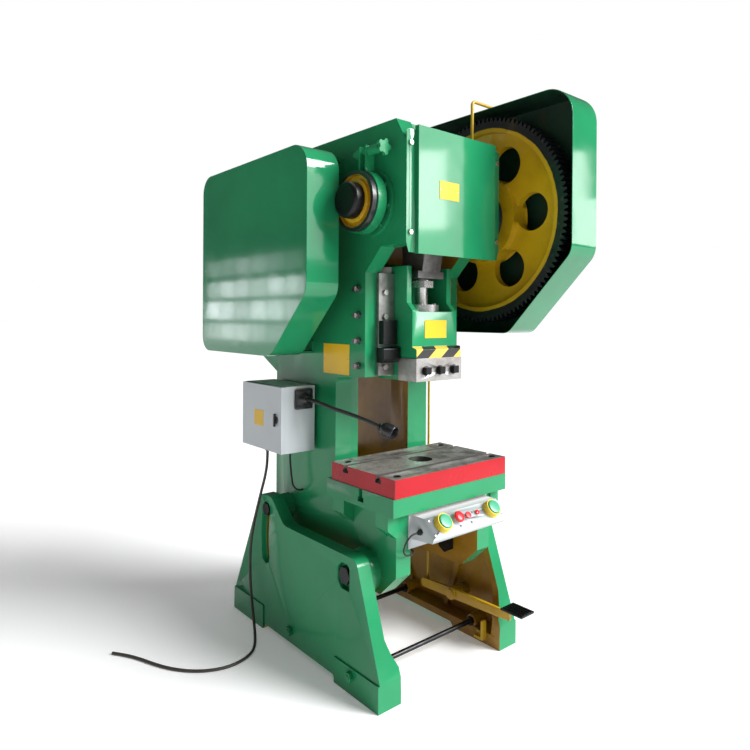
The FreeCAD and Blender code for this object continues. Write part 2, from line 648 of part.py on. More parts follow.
def brake_band():
    """A steel strap round the drum, open at the upper front, its ends turned up into ears."""
    inner = DRUM_R + SEAT
    outer = inner + BAND_T
    strap = rod("x", BAND_X0, BAND_X1, 0, CRANK_Z, outer)
    strap = strap.cut(rod("x", BAND_X0 - 1, BAND_X1 + 1, 0, CRANK_Z, inner))
    gap = box(BAND_X0 - 1, BAND_X1 + 1, -34, -6, CRANK_Z, CRANK_Z + 2 * DRUM_R)
    strap = strap.cut(gap)
    rise = math.sqrt(inner ** 2 - 34.0 ** 2)
    front = box(BAND_X0, BAND_X1, -40, -34, CRANK_Z + rise, CRANK_Z + 186)
    rear = box(BAND_X0, BAND_X1, -6, 0, CRANK_Z + inner + 1, CRANK_Z + 186)
    holes = rod("y", -60, 20, (BAND_X0 + BAND_X1) / 2, CRANK_Z + 168, 8.3)
    return fuse([strap, front, rear]).cut(holes)


def brake_adjuster():
    """The bar, spring housing and star nut that draw the brake band's ends together."""
    x = (BAND_X0 + BAND_X1) / 2
    z = CRANK_Z + 168
    parts = [rod("y", -118, 46, x, z, 8),
             rod("y", -96, -40 - SEAT, x, z, 17),
             rod("y", 0 + SEAT, 20, x, z, 15)]
    star = rod("y", -118, -104, x, z, 20)
    lobes = []
    for i in range(5):
        angle = math.radians(72.0 * i)
        lobes.append(rod("y", -118, -104, x + 20 * math.cos(angle), z + 20 * math.sin(angle), 8))
    arm = plate("y", 26, 40, [(-WALL_OUT, z - 24), (-WALL_OUT, z + 24), (x + 6, z + 16),
                              (x - 14, z, 10), (x + 6, z - 16)])
    return fuse(parts + [star, arm] + lobes)


def involute_flank(teeth, tip_r, root_r, sign):
    """Points of one tooth flank from root to tip, as (radius, angle from the tooth's middle)."""
    pitch_r = MODULE * teeth / 2.0
    base_r = pitch_r * math.cos(math.radians(PRESSURE_DEG))
    pressure = math.radians(PRESSURE_DEG)
    half = (math.pi * MODULE / 2.0 - BACKLASH / 2.0) / pitch_r / 2.0
    at_pitch = math.tan(pressure) - pressure
    points = [(root_r, None)]
    start = max(base_r, root_r)
    for i in range(5):
        r = start + (tip_r - start) * i / 4.0
        roll = math.acos(min(1.0, base_r / r))
        points.append((r, sign * (half + at_pitch - (math.tan(roll) - roll))))
    points[0] = (root_r, points[1][1])
    return points


def toothed_wire(teeth, tip_r, root_r, x, cy, cz, phase):
    """The outline of a spur gear with involute teeth; one tooth's middle lies at phase."""
    points = []
    for i in range(teeth):
        middle = phase + 2.0 * math.pi * i / teeth
        low = involute_flank(teeth, tip_r, root_r, -1)
        high = involute_flank(teeth, tip_r, root_r, 1)
        for r, a in low + high[::-1]:
            points.append(Vector(x, cy + r * math.cos(middle + a), cz + r * math.sin(middle + a)))
    tidy = [points[0]]
    for p in points[1:]:
        if (p - tidy[-1]).Length > 0.02:
            tidy.append(p)
    return Part.makePolygon(tidy + [tidy[0]])


def mesh_angle():
    """The direction from the crankshaft to the pinion shaft, as seen along +X."""
    return math.atan2(PINION_DZ, PINION_Y)


def bull_gear():
    pitch_r = MODULE * GEAR_TEETH / 2.0
    tip = pitch_r + MODULE
    root = pitch_r - 1.25 * MODULE
    wire = toothed_wire(GEAR_TEETH, tip, root, GEAR_X0, 0, CRANK_Z, mesh_angle())
    ring = Part.Face(wire).extrude(Vector(GEAR_X1 - GEAR_X0, 0, 0))
    ring = ring.cut(rod("x", GEAR_X0 - 1, GEAR_X1 + 1, 0, CRANK_Z, GEAR_WEB_R - 12))
    web = rod("x", GEAR_X0 + 24, GEAR_X1 - 24, 0, CRANK_Z, GEAR_WEB_R - 11)
    hub = rod("x", GEAR_X0 - 6, GEAR_X1 + 4, 0, CRANK_Z, GEAR_HUB_R)
    gear = fuse([ring, web, hub])
    cuts = [rod("x", GEAR_X0 - 7, GEAR_X1 + 5, 0, CRANK_Z, 118)]
    for i in range(GEAR_HOLES):
        angle = math.radians(GEAR_HOLE_PHASE + 360.0 / GEAR_HOLES * i)
        y = GEAR_HOLE_PITCH_R * math.cos(angle)
        z = CRANK_Z + GEAR_HOLE_PITCH_R * math.sin(angle)
        cuts.append(rod("x", GEAR_X0, GEAR_X1, y, z, GEAR_HOLE_R))
    gear = gear.cut(Part.Compound(cuts))
    return gear


def clutch_housing():
    """The rotating-key clutch's housing, pressed into the gear's hub and running on the crank."""
    body = rod("x", GEAR_X0 - 2, GEAR_X1 + 14, 0, CRANK_Z, 118 - RUN)
    lip = rod("x", GEAR_X0 - 14, GEAR_X0 - 1, 0, CRANK_Z, 104)
    cap = rod("x", GEAR_X1 + 4 + SEAT, GEAR_X1 + 14, 0, CRANK_Z, 140)
    whole = fuse([body, lip, cap])
    return whole.cut(rod("x", GEAR_X0 - 20, GEAR_X1 + 30, 0, CRANK_Z, JOURNAL_R + RUN))


def pinion_shaft():
    """The pinion is cut on its shaft; a tooth gap faces the bull gear."""
    pitch_r = MODULE * PINION_TEETH / 2.0
    tip = pitch_r + MODULE
    root = pitch_r - 1.25 * MODULE
    facing = mesh_angle() + math.pi + math.pi / PINION_TEETH
    wire = toothed_wire(PINION_TEETH, tip, root, GEAR_X0 - 4, PINION_Y, PINION_Z, facing)
    teeth = Part.Face(wire).extrude(Vector(GEAR_X1 - GEAR_X0 + 8, 0, 0))
    shaft = rod("x", FLYWHEEL_X0 - 8, GEAR_X1 + 8, PINION_Y, PINION_Z, PINION_SHAFT_R)
    inner = rod("x", -WALL_IN + 2 * SEAT, WALL_IN - 2 * SEAT, PINION_Y, PINION_Z, 38)
    return fuse([teeth, shaft, inner])


def belt_places():
    middle = (FLYWHEEL_X0 + FLYWHEEL_X1) / 2.0
    return [middle - BELT_PITCH, middle, middle + BELT_PITCH]


def groove(x, y, z, radius):
    """A ring that cuts one V-belt groove into a pulley of this radius."""
    half_top = BELT_W / 2.0 + 0.8
    half_low = half_top - 3.0
    depth = BELT_H + 2.0
    points = [Vector(x - half_low, y, z + radius - depth), Vector(x + half_low, y, z + radius - depth),
              Vector(x + half_top, y, z + radius + 1), Vector(x - half_top, y, z + radius + 1)]
    face = Part.Face(Part.makePolygon(points + [points[0]]))
    return face.revolve(Vector(x, y, z), Vector(1, 0, 0), 360)


def flywheel():
    y, z = PINION_Y, PINION_Z
    rim = rod("x", FLYWHEEL_X0, FLYWHEEL_X1, y, z, FLYWHEEL_R)
    rim = rim.cut(rod("x", FLYWHEEL_X0 - 1, FLYWHEEL_X0 + 28, y, z, FLYWHEEL_R - 48))
    rim = rim.cut(rod("x", FLYWHEEL_X1 - 28, FLYWHEEL_X1 + 1, y, z, FLYWHEEL_R - 48))
    wheel = fuse([rim, rod("x", FLYWHEEL_X0 + 4, FLYWHEEL_X1 + 10, y, z, 70)])
    cuts = [rod("x", FLYWHEEL_X0 - 2, FLYWHEEL_X1 + 12, y, z, PINION_SHAFT_R + RUN)]
    for i in range(5):
        angle = math.radians(72.0 * i)
        cuts.append(rod("x", FLYWHEEL_X0, FLYWHEEL_X1, y + 160 * math.cos(angle),
                        z + 160 * math.sin(angle), 48))
    for x in belt_places():
        cuts.append(groove(x, y, z, FLYWHEEL_R))
    return wheel.cut(Part.Compound(cuts))


def motor_pulley():
    """The motor's shaft with the grooved pulley keyed on it, turning as one."""
    pulley = rod("x", FLYWHEEL_X0, FLYWHEEL_X1, MOTOR_Y, MOTOR_Z, MOTOR_PULLEY_R)
    shaft = rod("x", FLYWHEEL_X0 - 4, -236, MOTOR_Y, MOTOR_Z, MOTOR_SHAFT_R)
    cuts = [groove(x, MOTOR_Y, MOTOR_Z, MOTOR_PULLEY_R) for x in belt_places()]
    return fuse([pulley.cut(Part.Compound(cuts)), shaft])


def v_belts():
    """Three V-belts, each a loop round the flywheel and the motor pulley."""
    dy = MOTOR_Y - PINION_Y
    dz = MOTOR_Z - PINION_Z
    apart = math.hypot(dy, dz)
    along = math.atan2(dz, dy)
    lift = math.acos((FLYWHEEL_R - MOTOR_PULLEY_R) / apart)
    belts = []
    for x in belt_places():
        half = BELT_W / 2.0 - 2.2

        def loop(grow):
            big = FLYWHEEL_R - BELT_H + grow
            small = MOTOR_PULLEY_R - BELT_H + grow

            def at(cy, cz, r, angle):
                return Vector(x - half, cy + r * math.cos(angle), cz + r * math.sin(angle))

            top_big = at(PINION_Y, PINION_Z, big, along + lift)
            low_big = at(PINION_Y, PINION_Z, big, along - lift)
            far_big = at(PINION_Y, PINION_Z, big, along + math.pi)
            top_small = at(MOTOR_Y, MOTOR_Z, small, along + lift)
            low_small = at(MOTOR_Y, MOTOR_Z, small, along - lift)
            far_small = at(MOTOR_Y, MOTOR_Z, small, along)
            return Part.Wire([Part.Arc(low_big, far_big, top_big).toShape(),
                              Part.LineSegment(top_big, top_small).toShape(),
                              Part.Arc(top_small, far_small, low_small).toShape(),
                              Part.LineSegment(low_small, low_big).toShape()])

        ring = Part.Face(loop(BELT_H - 1.0)).cut(Part.Face(loop(0.6)))
        belts.append(ring.extrude(Vector(2 * half, 0, 0)))
    return group(belts)


def motor_body():
    """The motor's finned casing with its end shields, feet and fan cowl."""
    x0 = -232.0
    x1 = 40.0
    parts = [rod("x", x0 + 14, x1, MOTOR_Y, MOTOR_Z, MOTOR_R - 12),
             rod("x", x0 + 14, x0 + 34, MOTOR_Y, MOTOR_Z, MOTOR_R - 2),
             rod("x", x0, x0 + 16, MOTOR_Y, MOTOR_Z, 48),
             rod("x", x1 - 20, x1 + 48, MOTOR_Y, MOTOR_Z, MOTOR_R - 4)]
    for i in range(24):
        angle = 15.0 * i
        fin = box(x0 + 30, x1 - 18, MOTOR_Y - 1.8, MOTOR_Y + 1.8, MOTOR_Z + 60, MOTOR_Z + MOTOR_R - 2)
        fin.rotate(Vector(0, MOTOR_Y, MOTOR_Z), Vector(1, 0, 0), angle)
        parts.append(fin)
    for x in (x0 + 50, x1 - 70):
        parts.append(box(x, x + 40, MOTOR_Y - 88, MOTOR_Y + 88, MOTOR_Z - 112, MOTOR_Z - 98))
        parts.append(box(x, x + 40, MOTOR_Y - 60, MOTOR_Y + 60, MOTOR_Z - 99, MOTOR_Z - 70))
    body = fuse(parts)
    return body.cut(rod("x", x0 - 1, x0 + 60, MOTOR_Y, MOTOR_Z, MOTOR_SHAFT_R + RUN))


def terminal_box():
    z0 = MOTOR_Z + MOTOR_R - 3
    lid = plate("z", z0, z0 + 46, [(-120, MOTOR_Y - 44, 8), (-30, MOTOR_Y - 44, 8),
                                   (-30, MOTOR_Y + 44, 8), (-120, MOTOR_Y + 44, 8)])
    neck = box(-110, -40, MOTOR_Y - 34, MOTOR_Y + 34, MOTOR_Z + 80, z0 + 2)
    core = rod("x", -140, 0, MOTOR_Y, MOTOR_Z, MOTOR_R - 2 + SEAT)
    return fuse([lid, neck]).cut(core)


def motor_plate():
    """The slotted plate that carries the motor on the back of the frame."""
    top = MOTOR_Z - 112.0
    base = box(-216, 36, WALL_REAR, MOTOR_Y + 104, top - 16, top)
    cheeks = []
    for x in (-206, 14):
        cheeks.append(plate("x", x, x + 12, [(WALL_REAR, top - 16), (WALL_REAR, top - 96),
                                             (WALL_REAR + 24, top - 96), (MOTOR_Y + 70, top - 16)]))
    back = box(-216, 36, WALL_REAR, WALL_REAR + 12, top - 100, top)
    return fuse([base, back] + cheeks)


# ---- guards -------------------------------------------------------------------------------
def inset(points, step, box_mid):
    """The outline moved inwards by one sheet thickness."""
    moved = []
    count = len(points)
    for i in range(count):
        before = points[i - 1]
        here = points[i]
        after = points[(i + 1) % count]
        d1 = Vector(here[0] - before[0], here[1] - before[1], 0).normalize()
        d2 = Vector(after[0] - here[0], after[1] - here[1], 0).normalize()
        n1 = Vector(-d1.y, d1.x, 0)
        n2 = Vector(-d2.y, d2.x, 0)
        toward = Vector(box_mid[0] - here[0], box_mid[1] - here[1], 0)
        if n1.dot(toward) < 0:
            n1 = -n1
        if n2.dot(toward) < 0:
            n2 = -n2
        split = (n1 + n2).normalize()
        shift = split * (step / split.dot(n1))
        moved.append((here[0] + shift.x, here[1] + shift.y, max(here[2] - step, 1.0)))
    return moved


def guard(points, outer_x, inner_x, mid):
    """A pressed sheet cover: a flat face at outer_x and a wall round it to inner_x."""
    lows = sorted((outer_x, inner_x))
    shell = plate("x", lows[0], lows[1], list(points))
    if inner_x > outer_x:
        hollow = plate("x", outer_x + SHEET, inner_x + 1, inset(points, SHEET, mid))
    else:
        hollow = plate("x", inner_x - 1, outer_x - SHEET, inset(points, SHEET, mid))
    return shell.cut(hollow)


def belt_guard():
    return guard(BELT_GUARD, BELT_GUARD_X, BELT_GUARD_IN, (460, 1480))


def gear_guard():
    return guard(GEAR_GUARD, GEAR_GUARD_X, GEAR_GUARD_IN, (50, 1640))


def guard_brackets():
    """Angle irons that carry both guards on the frame's side walls."""
    parts = []
    left = -WALL_OUT
    for y, z in ((360, 1112 + SHEET), (560, 1112 + SHEET)):
        parts.append(fuse([box(BELT_GUARD_IN - 60, left, y, y + 50, z, z + 8),
                           box(left - 8, left, y, y + 50, z, z + 46)]))
    for y in (180, 380):
        z = 1843 - SHEET - 8
        parts.append(fuse([box(BELT_GUARD_IN - 60, left, y, y + 50, z, z + 8),
                           box(left - 8, left, y, y + 50, z - 46, z + 8)]))
    parts.append(fuse([box(WALL_OUT, GEAR_GUARD_IN + 60, 300, 350, 1197 + SHEET, 1197 + SHEET + 8),
                       box(WALL_OUT, WALL_OUT + 8, 300, 350, 1197 + SHEET, 1250)]))
    parts.append(fuse([box(WALL_OUT, GEAR_GUARD_X - SHEET, 545 - SHEET - 10, 545 - SHEET - 2, 1500, 1550),
                       box(WALL_OUT, WALL_OUT + 8, 496, 545 - SHEET - 2, 1500, 1550)]))
    return group(parts)


def guard_stay():
    """A bent round bar from the top of the right wall to the roof of the gear guard."""
    top = 2085.0 + STAY_R
    x = 205.0
    y = -62.0
    r = 16.0
    path = Part.Wire([Part.LineSegment(Vector(x, y, TOP_Z - 8), Vector(x, y, top - r)).toShape(),
                      Part.Arc(Vector(x, y, top - r),
                               Vector(x + r - r * math.cos(math.pi / 4), y,
                                      top - r + r * math.sin(math.pi / 4)),
                               Vector(x + r, y, top)).toShape(),
                      Part.LineSegment(Vector(x + r, y, top), Vector(345, y, top)).toShape()])
    start = Part.Wire([Part.makeCircle(STAY_R, Vector(x, y, TOP_Z - 8), Vector(0, 0, 1))])
    bar = path.makePipeShell([start], True, False)
    foot = rod("z", TOP_Z, TOP_Z + 6, x, y, 16)
    keep = box(0, 500, -200, 200, TOP_Z, 2200)
    return fuse([bar, foot]).common(keep)


def front_cover():
    """One folded sheet: a flat front, two returns and two side flanges with bevelled feet."""
    t = COVER_SHEET
    back = HEAD_FRONT
    foot = 34.0
    front = box(-COVER_HALF_X, COVER_HALF_X, COVER_FRONT, COVER_FRONT + t, COVER_Z0, COVER_Z1)
    side = box(COVER_HALF_X - t, COVER_HALF_X, COVER_FRONT, back, COVER_Z0, COVER_Z1)
    flange = plate("y", back - t, back, [(COVER_HALF_X - t, COVER_Z0 + 4), (WALL_OUT - 12, COVER_Z0 + 4),
                   (WALL_OUT, COVER_Z0 + foot + 4), (WALL_OUT, COVER_Z1 - 14, 12),
                   (COVER_HALF_X - t, COVER_Z1 - 14)])
    parts = [front] + both_sides(side) + both_sides(flange)
    parts.append(box(-COVER_HALF_X, COVER_HALF_X, COVER_FRONT, back, COVER_Z1 - t, COVER_Z1))
    cover = fuse(parts)
    cuts = []
    for x, z in cover_screws():
        for sign in (-1, 1):
            cuts.append(rod("y", back - t - 1, back + 1, sign * x, z, 5.0))
    return cover.cut(Part.Compound(cuts))


def hex_screws():
    """The cover's screws and the bolts that hold the gibs' plates."""
    parts = []
    for sign in (-1, 1):
        for x, z in cover_screws():
            parts.append(bolt("y", HEAD_FRONT - COVER_SHEET, -1, sign * x, z, 5.0, 24, 16, 7))
        for z in GIB_BOLT_Z:
            parts.append(bolt("y", GIB_PLATE_Y, -1, sign * GIB_BOLT_X, z, 6.0,
                              RAM_BACK + 44 - GIB_PLATE_Y, 19, 9))
    return group(parts)


# ---- ram and its drive --------------------------------------------------------------------
def rail(tip, half, base, z0, z1, grow=0.0):
    """The ram's V rail, or with grow the groove for it, as a prism along Z on the +X side."""
    flat = 3.0
    return plate("z", z0, z1, [(base, RAIL_Y - half - grow), (tip + grow, RAIL_Y - flat - grow * 0.4),
                               (tip + grow, RAIL_Y + flat + grow * 0.4), (base, RAIL_Y + half + grow)])


def ram():
    profile = [(RAM_UPPER_Y, RAM_TOP, 0), (RAM_UPPER_Y, POCKET_Z + 33, 10),
               (RAM_MID_Y, POCKET_Z + 3, 6), (RAM_MID_Y, 1152, 4), (RAM_LOW_Y, 1143, 4),
               (RAM_LOW_Y, BLOCK_TOP, 0), (0, BLOCK_TOP, 0), (0, RAM_BOTTOM, 0),
               (RAM_BACK, RAM_BOTTOM, 0), (RAM_BACK, RAM_TOP, 0)]
    body = plate("x", -RAM_HALF_X, RAM_HALF_X, profile)
    rails = both_sides(rail(RAIL_TIP, RAIL_HALF, RAM_HALF_X - 1, RAM_BOTTOM + 14, RAM_TOP))
    pocket = plate("y", RAM_MID_Y - 10, POCKET_BACK, [(-POCKET_HALF_X, POCKET_Z, 10),
                   (POCKET_HALF_X, POCKET_Z, 10), (POCKET_HALF_X, RAM_TOP + 1), (-POCKET_HALF_X, RAM_TOP + 1)])
    ball = Part.makeSphere(BALL_R + RUN, Vector(0, 0, BALL_Z))
    throat = rod("z", BALL_Z, POCKET_Z + 1, 0, 0, BALL_R + RUN)
    shank = rod("z", RAM_BOTTOM - 1, RAM_BOTTOM + SHANK_DEPTH, 0, 0, SHANK_R)
    slot = plate("x", -200, 200, [(20, 1180, 4), (44, 1180, 4), (44, 1236, 4), (20, 1236, 4)])
    cuts = [pocket, ball, throat, shank, slot]
    for x in clamp_places():
        cuts.append(rod("y", RAM_LOW_Y, 60, x, 1068, 9.0))
    return fuse([body] + rails).cut(Part.Compound(cuts)).removeSplitter()


def clamp_places():
    return (-70.0, 0.0, 70.0)


def clamp_block():
    """The front half of the die shank's seat."""
    block = box(-RAM_HALF_X - 3, RAM_HALF_X + 3, RAM_LOW_Y - 2, -SEAT, RAM_BOTTOM, BLOCK_TOP - SEAT)
    cuts = [rod("z", RAM_BOTTOM - 1, RAM_BOTTOM + SHANK_DEPTH, 0, 0, SHANK_R)]
    for x in (clamp_places()[0], clamp_places()[2]):
        cuts.append(rod("y", RAM_LOW_Y - 3, 0, x, 1068, 9.0))
    cuts.append(rod("y", RAM_LOW_Y - 3, -SHANK_R + 8, 0, 1068, 9.0))
    return block.cut(Part.Compound(cuts))


def clamp_bolts():
    """Square-headed bolts: the outer two hold the block, the middle one presses on the shank."""
    bolts = []
    for x in clamp_places():
        end = -SHANK_R - 4 if x == 0 else 52
        shank = rod("y", RAM_LOW_Y - 3, end, x, 1068, 9.0 - RUN)
        head = box(x - 13, x + 13, RAM_LOW_Y - 20, RAM_LOW_Y - 2, 1068 - 13, 1068 + 13)
        collar = rod("y", RAM_LOW_Y - 6, RAM_LOW_Y - 2, x, 1068, 17)
        bolts.append(fuse([shank, head, collar]))
    return group(bolts)


def gib(sign):
    """A guide strip with a V groove for the ram's rail and a plate in front of the frame."""
    inner = RAM_HALF_X + 1
    z0 = HEAD_Z + 4
    z1 = GUIDE_TOP
    front = box(inner, GIB_PLATE_OUT, GIB_PLATE_Y, GUIDE_Y, z0, z1)
    block = box(inner, WALL_IN - SEAT, GUIDE_Y, RAM_BACK, z0, z1)
    groove_cut = rail(RAIL_TIP, RAIL_HALF, RAM_HALF_X - 1, z0 - 1, z1 + 1, SLIDE * 1.6)
    body = fuse([front, block]).cut(groove_cut)
    cuts = []
    for z in GIB_BOLT_Z:
        cuts.append(rod("y", GIB_PLATE_Y - 1, RAM_BACK + 1, GIB_BOLT_X, z, 6.0))
    body = body.cut(Part.Compound(cuts))
    return body if sign > 0 else body.mirror(Vector(0, 0, 0), Vector(1, 0, 0))


def gib_screws():
    """Set screws through the side walls that press on the gibs, each with its lock nut."""
    parts = []
    for sign in (-1, 1):
        for z in GIB_SCREW_Z:
            shank = sorted((sign * (WALL_IN - SEAT), sign * (WALL_OUT + 26)))
            nut = sorted((sign * WALL_OUT, sign * (WALL_OUT + 12)))
            head = sorted((sign * (WALL_OUT + 18), sign * (WALL_OUT + 27)))
            parts.append(fuse([rod("x", shank[0], shank[1], GIB_SCREW_Y, z, GIB_SCREW_R),
                               hexagon("x", nut[0], nut[1], GIB_SCREW_Y, z, 24),
                               box(head[0], head[1], GIB_SCREW_Y - 8, GIB_SCREW_Y + 8, z - 8, z + 8)]))
    return group(parts)


def stop_blocks():
    """Blocks on both gib plates: an upper stop and a lower one with a turned-down nose."""
    parts = []
    for sign in (-1, 1):
        upper = sorted((sign * 122, sign * 185))
        lower = sorted((sign * 117, sign * 196))
        parts.append(box(upper[0], upper[1], GIB_PLATE_Y - 26, GIB_PLATE_Y, 1160, 1244))
        nose = plate("x", lower[0], lower[1], [(GIB_PLATE_Y, 1095), (GIB_PLATE_Y, 1148),
                     (GIB_PLATE_Y - 40, 1148, 6), (GIB_PLATE_Y - 40, 1106, 10), (GIB_PLATE_Y - 28, 1095)])
        parts.append(nose)
    return group(parts)


def connecting_rod():
    """The rod rides with the ram, so its big end is wide enough for the crankpin's sweep."""
    pin_z = CRANK_Z + THROW
    rise = 0.22 * THROW + 1.0
    width = CRANKPIN_HALF - SEAT
    reach = THROW + 1.5
    big_r = CRANKPIN_R + rise + 22
    body = [rod("x", -width, width, 0, pin_z, big_r), rod("x", -width, width, -reach, pin_z, big_r),
            box(-width, width, -reach, 0, pin_z - big_r, pin_z + big_r),
            plate("x", -width + 14, width - 14, [(-52, 1424), (52, 1424), (64, pin_z - 50), (-96, pin_z - 50)]),
            box(-65, 65, -50, 50, 1399, 1425)]
    bore_r = CRANKPIN_R + rise
    cuts = [rod("x", -width - 1, width + 1, 0, pin_z, bore_r),
            rod("x", -width - 1, width + 1, -reach, pin_z, bore_r),
            box(-width - 1, width + 1, -reach, 0, pin_z - bore_r, pin_z + bore_r),
            rod("z", 1398, 1520, 0, 0, SCREW_R + RUN)]
    return fuse(body).cut(Part.Compound(cuts)).removeSplitter()


def adjusting_screw():
    """The ball-ended screw that sets the shut height, with its hexagon and lock nut."""
    parts = [rod("z", BALL_Z, 1516, 0, 0, SCREW_R), Part.makeSphere(BALL_R, Vector(0, 0, BALL_Z)),
             hexagon("z", 1366, 1391, 0, 0, 78), rod("z", 1391, 1396, 0, 0, 32)]
    return fuse(parts)


def ball_cap():
    """The round cap screwed on the pocket's floor that holds the ball in its seat."""
    cap = rod("z", POCKET_Z, 1303, 0, 0, 64)
    cap = cap.cut(rod("z", POCKET_Z - 1, 1304, 0, 0, SCREW_R + 5))
    cap = cap.cut(Part.makeSphere(BALL_R + RUN, Vector(0, 0, BALL_Z)))
    parts = [cap]
    for i in range(4):
        angle = math.radians(90.0 * i + 45)
        parts.append(rod("z", 1302, 1308, 46 * math.cos(angle), 46 * math.sin(angle), 8))
    return fuse(parts)


# ---- electrical ---------------------------------------------------------------------------
def cabinet_box():
    shell = box(CAB_X0, CAB_X1, CAB_Y0, CAB_Y1, CAB_Z0, CAB_Z1)
    hollow = box(CAB_X0 - 1, CAB_X1 - CAB_WALL, CAB_Y0 + CAB_WALL, CAB_Y1 - CAB_WALL,
                 CAB_Z0 + CAB_WALL, CAB_Z1 - CAB_WALL)
    shell = shell.cut(hollow)
    rails = []
    for z in (CAB_Z0 + 30, CAB_Z1 - 50):
        rails.append(box(CAB_X1, -WALL_OUT, CAB_Y0 + 40, CAB_Y1 - 40, z, z + 20))
    pin_x, pin_y = hinge_point()
    knuckles = []
    for z in (CAB_Z0 + 40, CAB_Z1 - 60):
        knuckles.append(rod("z", z, z + 20, pin_x, pin_y, 5))
        knuckles.append(box(pin_x, pin_x + 8, CAB_Y1 - 1, pin_y, z, z + 20))
    holes = [rod("z", CAB_Z0 - 1, CAB_Z0 + 3, GLAND_XY[0][0], GLAND_XY[0][1], 9.0),
             rod("z", CAB_Z0 - 1, CAB_Z0 + 3, GLAND_XY[1][0], GLAND_XY[1][1], 9.0)]
    return fuse([shell] + rails + knuckles).cut(Part.Compound(holes))


def hinge_point():
    return CAB_X0 - 6.0, CAB_Y1 + 7.0


GLAND_XY = ((-330.0, 548.0), (-280.0, 458.0))


def cabinet_door():
    """The pan-shaped door on the cabinet's outer side, hinged at the rear edge."""
    x0 = CAB_X0 - SEAT - DOOR_T
    x1 = CAB_X0 - SEAT
    door = box(x0, x1, CAB_Y0 - 1, CAB_Y1 - 2, CAB_Z0 + 1, CAB_Z1 - 1)
    door = door.cut(box(x0 + CAB_WALL, x1 + 1, CAB_Y0 + 3, CAB_Y1 - 6, CAB_Z0 + 5, CAB_Z1 - 5))
    pin_x, pin_y = hinge_point()
    z0 = CAB_Z0 + 60 + SEAT
    z1 = CAB_Z1 - 60 - SEAT
    knuckle = rod("z", z0, z1, pin_x, pin_y, 5)
    leaf = box(pin_x - 3, pin_x + 3, CAB_Y1 - 3, pin_y, z0, z1)
    lock = rod("x", x0 - 1, x0 + 3, CAB_Y0 + 38, LOCK_Z, 9.0 + RUN)
    return fuse([door, knuckle, leaf]).cut(lock)


LOCK_Z = 868.0


def door_lock():
    """The quarter-turn lock in the door, with its wing handle and cam."""
    x0 = CAB_X0 - SEAT - DOOR_T
    y = CAB_Y0 + 38
    return fuse([rod("x", x0 - 4, x0 - SEAT, y, LOCK_Z, 15), rod("x", x0 - 1, x0 + 12, y, LOCK_Z, 9.0),
                 box(x0 - 10, x0 - 3, y - 4, y + 4, LOCK_Z - 24, LOCK_Z + 24),
                 box(x0 + 7, x0 + 11, y - 6, y + 6, LOCK_Z - 30, LOCK_Z + 6)])


def lamp_base():
    y1 = CAB_Y0
    base = plate("y", y1 - 10, y1, [(LAMP_X - LAMP_HALF, LAMP_Z - LAMP_HALF, 6),
                 (LAMP_X + LAMP_HALF, LAMP_Z - LAMP_HALF, 6), (LAMP_X + LAMP_HALF, LAMP_Z + LAMP_HALF, 6),
                 (LAMP_X - LAMP_HALF, LAMP_Z + LAMP_HALF, 6)])
    boss = Part.makeCone(24, 13, 16, Vector(LAMP_X, y1 - 10, LAMP_Z), Vector(0, -1, 0))
    screws = []
    for sx in (-1, 1):
        for sz in (-1, 1):
            screws.append(rod("y", y1 - 13, y1 - 9, LAMP_X + sx * 29, LAMP_Z + sz * 29, 4.5))
    return fuse([base, boss] + screws)


NECK = ((-303.0, 305.0, 944.0), (-303.0, 258.0, 944.0), (-291.2, 211.9, 933.7),
        (-271.2, 168.6, 920.3), (-252.0, 119.8, 909.8), (-237.8, 69.0, 899.3),
        (-226.0, 17.0, 888.0), (-218.0, -21.0, 878.0))


def lamp_neck():
    """The flexible metal neck, a bent arm of one length."""
    return tube_path(NECK, NECK_R)


def lamp_head():
    end = Vector(*NECK[-1])
    way = (end - Vector(*NECK[-2])).normalize()
    cup = Part.makeCone(11, 26, 30, end, way)
    barrel = Part.makeCylinder(26, 40, end + way * 29.5, way)
    hollow = Part.makeCone(14, 23, 30, end + way * 41, way)
    return fuse([cup, barrel]).cut(hollow)


def panel_frame():
    """The control panel's slanted face: its lower and upper edges and its outward normal."""
    low = Vector(0, CONTROL[2][0], CONTROL[2][1])
    high = Vector(0, CONTROL[1][0], CONTROL[1][1])
    up = (high - low).normalize()
    normal = Vector(0, -up.z, up.y)
    return low, up, normal


def panel_rod(x, along, start, end, radius):
    """A round bar square to the control panel's slanted face."""
    low, up, normal = panel_frame()
    foot = low + up * along + Vector(x, 0, 0)
    return Part.makeCylinder(radius, end - start, foot + normal * start, normal)


BUTTONS = {"left_palm_button": (-102.0, 41.0, 27.0), "stop_button": (-27.0, 44.0, 20.0),
           "set_button": (17.0, 41.0, 12.0), "right_palm_button": (147.0, 41.0, 27.0)}
SIGNAL = (75.0, 45.0, 11.0)


def control_box():
    """The folded console on its back plate, with a round collar round each button's stem."""
    shell = plate("x", BOX_X0, BOX_X1, list(CONTROL))
    back = box(BOX_X0 - 17, BOX_X1 + 12, BOX_BACK, FRONT_LOW, 474, 590)
    parts = [shell, back]
    for x, along, radius in BUTTONS.values():
        parts.append(panel_rod(x, along, -1, 7, radius * 0.72))
    whole = fuse(parts)
    cuts = []
    for x, along, radius in BUTTONS.values():
        cuts.append(panel_rod(x, along, -22, 8, 7.0 + RUN))
    cuts.append(panel_rod(SIGNAL[0], SIGNAL[1], -16, 1, 8.0))
    return whole.cut(Part.Compound(cuts))


